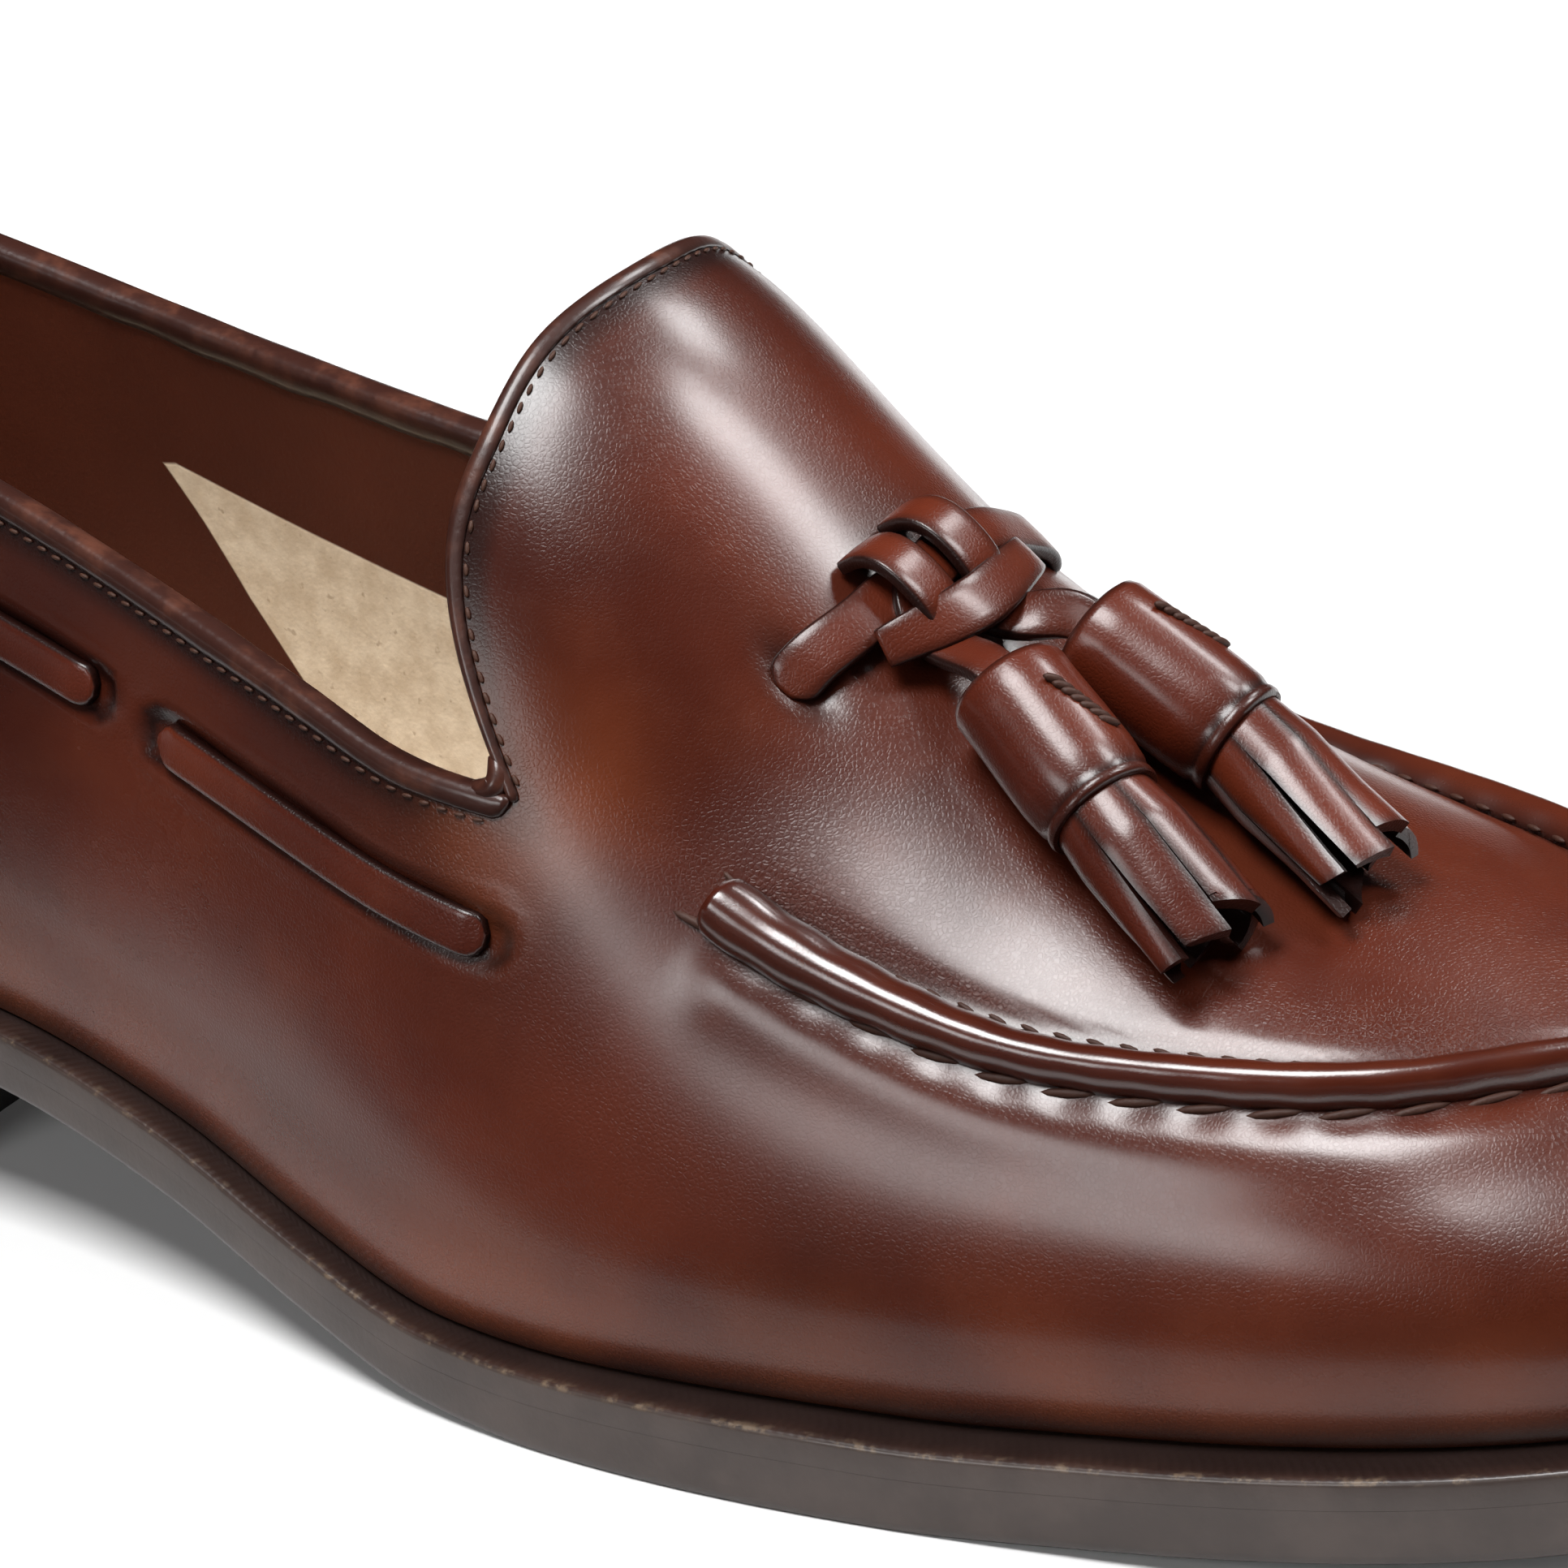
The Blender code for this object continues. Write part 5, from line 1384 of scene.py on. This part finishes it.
def pill(width, thickness, inside):
    """A closed outline of a flat strap with bevelled edges, and how dark each point is."""
    w, t, b = width / 2, thickness / 2, 0.22 * thickness
    outline_pairs = [(w, -t + b), (w, t - b), (w - 0.4 * b, t - 0.3 * b), (w - b, t), (w / 2, 1.06 * t),
                     (0, 1.1 * t), (-w / 2, 1.06 * t), (b - w, t), (0.4 * b - w, t - 0.3 * b), (-w, t - b),
                     (-w, b - t), (b - w, -t), (0, -t), (w - b, -t)]
    # The underside takes the given darkness: the flesh side, and painted shade where it is hidden.
    shade = [1, 1, 0.9, 0.5, 0.08, 0, 0.08, 0.5, 0.9, 1, 1, 0.9, inside, 0.9]
    return outline_pairs, np.maximum(shade, [0] * 11 + [inside] * 3)


def strap(name, path, wide, width, widths=(1, 1), inside=0.6):
    """A strap through a path whose flat runs along given wide directions."""
    path, wide = spread(path, STRAP_STEP, np.broadcast_to(wide, path.shape))
    tangents = unit(np.gradient(path, axis=0))
    sideways = unit(wide - tangents * (wide * tangents).sum(-1, keepdims=True))
    outline_pairs, shade = pill(width, STRAP_THICKNESS, inside)
    widths = np.interp(np.linspace(0, 1, len(path)), np.linspace(0, 1, len(widths)), widths)
    return sweep(name, path, sideways, np.cross(tangents, sideways), outline_pairs, LACE, widths,
                 shades=shade)


def across_path(path, normals):
    """The direction across a strap that lies flat on the leather, its face upwards."""
    return unit(np.cross(np.gradient(path, axis=0), normals))


print("points of a strap's section:", len(pill(STRAP_WIDTH, STRAP_THICKNESS, 0.6)[0]))

# %% Band and loops of the knot
knot_parts = []
path, _ = over(*smooth_table(KNOT_BAND, ("along", "side", "lift"), 40))
knot_parts.append(strap("knot_band", path, np.array([-1.0, -0.1, 0.9]), KNOT_WIDTH,
                        [0.75, 0.95, 1.05, 1.0, 0.9, 0.75]))
for side, place_side in LOOP_SIDES.items():
    along, lift = smooth_table(KNOT_LOOP, ("along", "lift"), 40)
    path, _ = over(along, np.full(len(along), place_side), lift)
    # The loops' insides are painted near black: the flesh side, and painted shade inside the loops.
    knot_parts.append(strap(f"knot_loop_{side}", path, np.array([0.0, -1.0, -0.12]), KNOT_WIDTH,
                            inside=0.95))
print("knot parts:", len(knot_parts))

# %% [markdown]
# ## Tassels
# A tassel is a strip of leather cut into a fringe and rolled up on the lace end. The uncut
# part is the barrel, sewn with a short bar of thread, and the cut strips fall from it. A flat
# sheet could be cut and rolled. Each strip is made in its place here, and random draws give it
# a length, a lean and a lift of its own.

# %% Sizes of the tassels
TASSELS = {
    "tassel": ["lateral", "medial"],
    "top": [(0.6607, -0.100), (0.6663, 0.010)],
    "end": [(0.7083, -0.141), (0.7230, 0.010)],
    "tip": [(0.7640, -0.186), (0.7870, -0.033)],
}
TASSEL_RADIUS = 6.2 * MM
TASSEL_LIFT = 6.7
TIP_LIFT = 4.0
STRIPS = 7
STRIP_THICKNESS = 1.35 * MM
BAR_DOWN = 8.2 * MM
BAR_THREAD = {"pitch": 0.95 * MM, "length": 2.5 * MM, "thickness": 0.95 * MM, "slant": 0.55}
BARREL_LENGTH = 19.0
# Pairs of a distance down the barrel and a share of its radius.
BARREL_PROFILE = [
    (0.5, 0.25), (0.1, 0.30), (0.0, 0.42), (-0.2, 0.60), (0.0, 0.84), (0.35, 0.95), (1.2, 1.0),
    (4.0, 1.0), (9.0, 1.015), (14.0, 1.03), (16.6, 1.0), (17.6, 0.96), (18.0, 0.99), (18.6, 1.0),
    (19.0, 0.97), (19.1, 0.90), (18.6, 0.82), (16.0, 0.80),
]
# BARREL_SHADES paint the barrel darker at its closed top, and in the groove and inside of the lip as painted
# shade.
BARREL_SHADES = {
    "down": [-1, 0.2, 1.2, 14, 16.5, 17.6, 18.4, 19.2],
    "burnish": [1, 0.95, 0.05, 0, 0.25, 0.9, 0.35, 0.95],
}
print("strips of a fringe:", STRIPS)

# %% Barrel
def tassel_axes(top, end, tip):
    """Where a tassel's barrel starts and ends, where its tips lie, and its three directions."""
    lifts = (TASSEL_LIFT, TASSEL_LIFT, TIP_LIFT)
    (top_at, _), (end_at, normal), (tip_at, _) = (over(*at, lift) for at, lift in zip((top, end, tip), lifts))
    axis = unit(end_at - top_at)
    side = unit(np.cross(axis, normal))
    return top_at, end_at, tip_at, axis, side, np.cross(side, axis)


def barrel(name, top, end, axis, side, rise):
    """The rolled barrel with its closed top and the lip over the fringe."""
    length = np.linalg.norm(end - top)
    turns = np.linspace(0, 2 * math.pi, 56, endpoint=False)
    rings = []
    for z, r in BARREL_PROFILE:
        spiral = 1 + 0.012 * np.sin(turns * 2 + z)
        radius = TASSEL_RADIUS * r * spiral
        centre = top + axis * (z / BARREL_LENGTH * length)
        round_it = side * np.cos(turns)[:, None] + rise * np.sin(turns)[:, None]
        rings.append(centre + round_it * radius[:, None])
    shades = np.interp([z for z, _ in BARREL_PROFILE], BARREL_SHADES["down"], BARREL_SHADES["burnish"])
    faces = tube_faces(len(BARREL_PROFILE), len(turns))
    return add_mesh(name, rings, faces, BARREL, {"burnish": np.repeat(shades, len(turns))})


BARREL = calf("calf_tassel", 0.0, 0.9, 1.1, -0.35)
print("finish:", BARREL.name)

# %% Fringe
def fringe(name, end, tip, side, rise, rng):
    """Cut strips round the axis, flattening and parting towards their tips."""
    rows, columns = 22, 7
    down = tip - end
    points, faces, burn, start = [], [], [], 0
    for k in range(STRIPS):
        middle = 2 * math.pi * (k + 0.25) / STRIPS
        long = 1 - rng.uniform(0.0, 0.12)
        lean = rng.uniform(-0.10, 0.10)
        lift = rng.uniform(-0.05, 0.12)
        t = np.linspace(-0.06, 1, rows)[:, None]
        half = (math.pi / STRIPS) * (1.03 - 0.13 * np.clip(t, 0, 1) ** 0.8)
        angle = middle + lean * t ** 2 + half * np.linspace(-1, 1, columns)[None, :]
        cut = 1 + (0.05 + rng.uniform(-0.03, 0.05)) * np.linspace(-1, 1, columns)[None, :] * (t > 0.9)
        spread_out = np.interp(t, [0, 0.25, 0.6, 1], [0.87, 0.98, 1.04, 1.06 + lift])
        flat = np.interp(t, [0, 0.3, 0.7, 1], [0.87, 0.90, 0.74, 0.60 + lift])
        shells = []
        for inset in (0.0, STRIP_THICKNESS / TASSEL_RADIUS):
            curl = 1 - 0.25 * (angle - middle) ** 2 * t
            across = side * (np.cos(angle) * (spread_out - inset) * curl)[..., None]
            upward = rise * (np.sin(angle) * (flat - inset) * curl)[..., None]
            shells.append(end + down * (t * long * cut)[..., None] + (across + upward) * TASSEL_RADIUS)
        block = np.concatenate([shells[0], shells[1][:, ::-1]], axis=1)
        around = block.shape[1]
        faces += tube_faces(rows, around, start)
        # Each strip's inner face is painted near black, as its flesh side and as painted shade inside the
        # tassel; its cut edges and tips are inked darker.
        outer = np.abs(np.linspace(-1, 1, columns)) ** 6 * 0.9
        shade = np.concatenate([outer, np.ones(columns)])
        ends = np.clip((t[:, 0] - 0.9) / 0.1, 0, 1) ** 2 * 0.6
        burn.append(np.clip(shade[None, :] + ends[:, None], 0, 1).ravel())
        points.append(block.reshape(-1, 3))
        start += rows * around
    return add_mesh(name, np.concatenate(points), faces, BARREL, {"burnish": np.concatenate(burn)})


print("two walls a strip,", round(STRIP_THICKNESS / MM, 2), "mm apart")

# %% Make both tassels
def joined(name, parts):
    """Several meshes as one object in place."""
    with bpy.context.temp_override(active_object=parts[0], selected_editable_objects=parts,
                                   selected_objects=parts, object=parts[0]):
        bpy.ops.object.join()
    parts[0].name = name
    return parts[0]


rng = np.random.default_rng(11)
stem_ends = {}
tassels = {}
for name, top, end, tip in zip(*TASSELS.values()):
    top_at, end_at, tip_at, axis, side, rise = tassel_axes(top, end, tip)
    body = turned_out(barrel(f"tassel_{name}_barrel", top_at, end_at, axis, side, rise), CREASE)
    strips = turned_out(fringe(f"tassel_{name}_fringe", end_at, tip_at, side, rise, rng), CREASE)
    tassels[name] = joined(f"tassel_{name}_leather", [body, strips])
    finished(tassels[name], "calf", f"tassel_{name}")
    stem_ends[name] = (top_at, axis, side, rise)
    middle = top_at + axis * BAR_DOWN
    line = np.array([middle + (axis * (u * 3.0) + side * (v * 2.0)) * MM for u, v in ((-1, 0.9), (1, -0.6))])
    radial = unit(rise * 0.9 - side * 0.42)
    line = line - radial * ((line - middle) @ radial)[:, None] + radial * (TASSEL_RADIUS * 1.02)
    line, = spread(line, 0.5 * MM)
    sew(f"tassel_{name}_bar", line, np.tile(radial, (len(line), 1)), **BAR_THREAD,
                     finish=WAXED)
print("tassels:", ", ".join(tassels))

# %% [markdown] ## Two halves of the front lace On the shoe one lace crosses the vamp. It is
# built as two halves, each from its slot through the knot to a tassel, because each half
# hangs its own tassel.

# %% Two halves of the front lace
LACE_HALVES = {
    "medial": {
        "along": [0.6075, 0.6100, 0.6170, 0.6200, 0.6260, 0.6340, 0.6420],
        "side": [-0.205, -0.180, -0.118, -0.068, -0.036, -0.022, -0.016],
        "lift": [-1.0, 0.6, 1.7, 1.7, 1.6, 1.7, 2.0],
    },
    "lateral": {
        "along": [0.6190, 0.6200, 0.6210, 0.6210, 0.6215, 0.6260, 0.6340],
        "side": [0.185, 0.165, 0.118, 0.050, -0.030, -0.072, -0.084],
        "lift": [-1.0, 0.8, 1.6, 2.6, 3.0, 2.8, 2.3],
    },
}
for name, table in LACE_HALVES.items():
    top_at, axis, side, rise = stem_ends[name]
    points, lifts = over(*(np.array(table[c]) for c in ("along", "side", "lift")))
    face = rise if name == "lateral" else unit(side * 0.9 + rise * 0.5)
    points = np.concatenate([points, [top_at - axis * (1.5 * MM), top_at + axis * (1.0 * MM)]])
    lifts = np.concatenate([lifts, [face, face]])
    run = along_lengths(points)
    t = np.linspace(0, run[-1], 80)
    path = np.stack([natural_spline(run, points[:, k])(t) for k in range(3)], 1)
    lifts = unit(np.stack([natural_spline(run, lifts[:, k])(t) for k in range(3)], 1))
    from_slot = np.linspace(0, run[-1], 120)
    widths = np.interp(from_slot, [0, run[-1] / 2, run[-1]], [1.12, 1.05, 0.9])
    half = strap(f"front_lace_to_{name}", path, -across_path(path, lifts), STRAP_WIDTH,
                 rounded(from_slot, 2.0 * MM, 0.1536) * widths)
    finished(half, "calf", "front_lace", f"lace_end_{name}")
    print(f"lace to the {name} tassel:", round(along_lengths(path)[-1] * 1000, 1), "mm")
knot = joined("lace_knot_leather", knot_parts)
finished(knot, "calf", "lace_knot")
print("knot:", len(knot.data.polygons), "faces")

# %% [markdown]
# ## Sole edge, welt and heel
# The edges are trimmed, inked and waxed. The top of the welt is pressed with a fine wheel,
# and its outer corner is worn to a pale broken line. Blocks could be bevelled. Rings of points
# at chosen insets and heights round the edges as wanted and follow the sole's own outline.

# %% Sole finishes
def edge_finish(name, colour, pale, layers=0.0):
    """Inked and waxed leather, with the lines of a heel's layers where their height is given."""
    f = Finish(name, Specular_IOR_Level=0.4)
    where = f.node("TexCoord", 3)
    cloud = f.noise(where, 90.0, 4.0, 0.6)
    fine = f.noise(where, 1400.0, 3.0)
    base = f.mix(f.step(cloud, 0.35, 0.7), colour, pale)
    if layers:
        wave = (f.node("SeparateXYZ", 2, None, Vector=where) * (2 * math.pi / layers)).math("SINE")
        base = f.mix(f.step(wave, 0.90, 0.99) * 0.8, base, (0.01, 0.006, 0.004))
    worn = f.step(f.noise(where, 420.0, 4.0, 0.7), 0.5, 0.66) * f.attribute("worn")
    base = f.mix(worn, base, (0.20, 0.14, 0.09))
    base = f.mix(f.attribute("burnish"), base, (0.012, 0.006, 0.005))
    ridges = (f.attribute("run") * (2 * math.pi / (1.1 * MM))).math("SINE") * f.attribute("wheel")
    return f.set(Base_Color=base, Roughness=cloud * 0.15 + 0.34,
                 Normal=f.bump(fine * 0.4 + ridges * 1.2, 0.35, 0.00025), Coat_Weight=0.15)


EDGE = edge_finish("sole_edge", (0.035, 0.023, 0.019), (0.054, 0.037, 0.031))
WELT = edge_finish("welt_leather", (0.018, 0.008, 0.006), (0.036, 0.016, 0.011))
STACK = edge_finish("heel_leather", (0.045, 0.026, 0.020), (0.065, 0.040, 0.030), 4.4 * MM)
RUBBER = edge_finish("heel_rubber", (0.016, 0.013, 0.012), (0.024, 0.020, 0.018))
print("finishes:", EDGE.name, WELT.name, STACK.name, RUBBER.name)

# %% Rings of the sole
RING_POINTS = 420


def outline_ring(back_x, front_x, inset, half=sole_half):
    """A closed outline drawn in by an inset, as distance and side arrays."""
    turn = np.linspace(0, math.pi, RING_POINTS // 2 + 1)
    xs, ys = [], []
    for side, order in (("lateral", slice(None)), ("medial", slice(-2, 0, -1))):
        t = turn[order]
        xs.append(back_x + inset + (front_x - back_x - 2 * inset) * (1 - np.cos(t)) / 2)
        ys.append(inset_half(half(t, side), t, inset) * SIDES[side])
    return np.concatenate(xs), np.concatenate(ys)


def ring_mesh(name, rings, finish, shades, worn=None, wheel=None, plate=False):
    """A closed body through closed rings of points, or a rim whose last ring meets its first."""
    rings = np.array(rings)
    rows, columns = rings.shape[:2]
    faces = grid_faces(rows, columns, close_rows=not plate, close_columns=True)
    if plate:
        for start in (0, (rows - 1) * columns):
            for i in range(columns // 2):
                corners = [start + i, start + i + 1, start + (columns - i - 1) % columns,
                           start + (columns - i) % columns]
                faces.append(list(dict.fromkeys(corners)))
    run = along_lengths(rings[0])
    none = [0] * rows
    values = {"burnish": np.repeat(shades, columns), "run": np.tile(run, rows),
              "worn": np.repeat(worn or none, columns), "wheel": np.repeat(wheel or none, columns)}
    return turned_out(add_mesh(name, rings, faces, finish, values), CREASE)


def at_height(x, y, z):
    """Points of an outline at given heights, measured from the part's own origin."""
    return np.stack([x - HEEL_SEAT, y, z], 1)


print("points of an outline:", len(outline_ring(0, SHOE_LENGTH, 0)[0]))

# %% Outsole
# Pairs of an inset in millimetres and a share of the outsole's thickness, from the tread up.
rings = []
rows = [(6.0, 0.0), (1.2, 0.0), (0.4, 0.0), (0.1, 0.06), (0.0, 0.2), (0.0, 0.7), (0.0, 1.0), (3.0, 1.0)]
for inset, level in rows:
    x, y = outline_ring(0, SHOE_LENGTH, inset * MM)
    low, high = sole_bottom(x), outsole_top(x)
    rings.append(at_height(x, y, low + (high - low) * level))
outsole = ring_mesh("outsole_leather", rings, EDGE, [0.2, 0.4, 0.6, 0.3, 0, 0, 0, 0], plate=True)
finished(outsole, "edge", "outsole")
print("outsole:", len(outsole.data.polygons), "faces")

# %% Welt
# Each row: inset from the sole's outline, or None and an inset from the feather line, and a level.
feather = (UPPER_BACK, UPPER_FRONT)
rows = [(None, 2.4, 0.0), (0.0, 0, 0.0), (0.0, 0, 0.12), (0.0, 0, 0.80), (0.12, 0, 0.94), (0.45, 0, 1.0),
        (1.4, 0, 1.0), (3.0, 0, 0.94), (None, 0.2, 0.98), (None, 2.4, 0.98)]
rings = []
for inset, inner, level in rows:
    if inset is None:
        x, y = outline_ring(*feather, inner * MM, half=feather_half)
    else:
        x, y = outline_ring(0, SHOE_LENGTH, inset * MM)
    low, high = outsole_top(x) + 0.02 * MM, welt_top(x)
    rings.append(at_height(x, y, low + (high - low) * level))
# The welt's top is painted darker towards the upper, as painted shade in the crease.
welt = ring_mesh("welt_rim", rings, WELT, [0, 0, 0, 0, 0.1, 0.1, 0.4, 0.8, 1, 1],
                 worn=[0, 0, 0, 0, 0.7, 0.4, 0, 0, 0, 0], wheel=[0, 0, 0, 0, 0, 0.1, 0.35, 0.1, 0, 0])
welt.data.materials.append(EDGE)
for face in welt.data.polygons:
    face.material_index = int(abs(face.normal.z) < 0.6)
finished(welt, "edge", "welt")
print("welt:", len(welt.data.polygons), "faces")

# %% [markdown]
# ## Pieces that keep the CAD form
# Heel stack, top piece and insole are plain enough as the CAD model has them. They could be
# modelled again, but nothing would be won, so they only get their finishes.

# %% Finishes of heel and insole
for node, finish in (("heel_stack", STACK), ("top_piece", RUBBER), ("insole", LINING)):
    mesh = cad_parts[node].data
    mesh.materials.clear()
    mesh.materials.append(finish)
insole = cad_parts["insole"].data
write(insole, "pale", np.full(len(insole.vertices), 1.0))
print("insole points with the undyed finish:", len(insole.vertices))
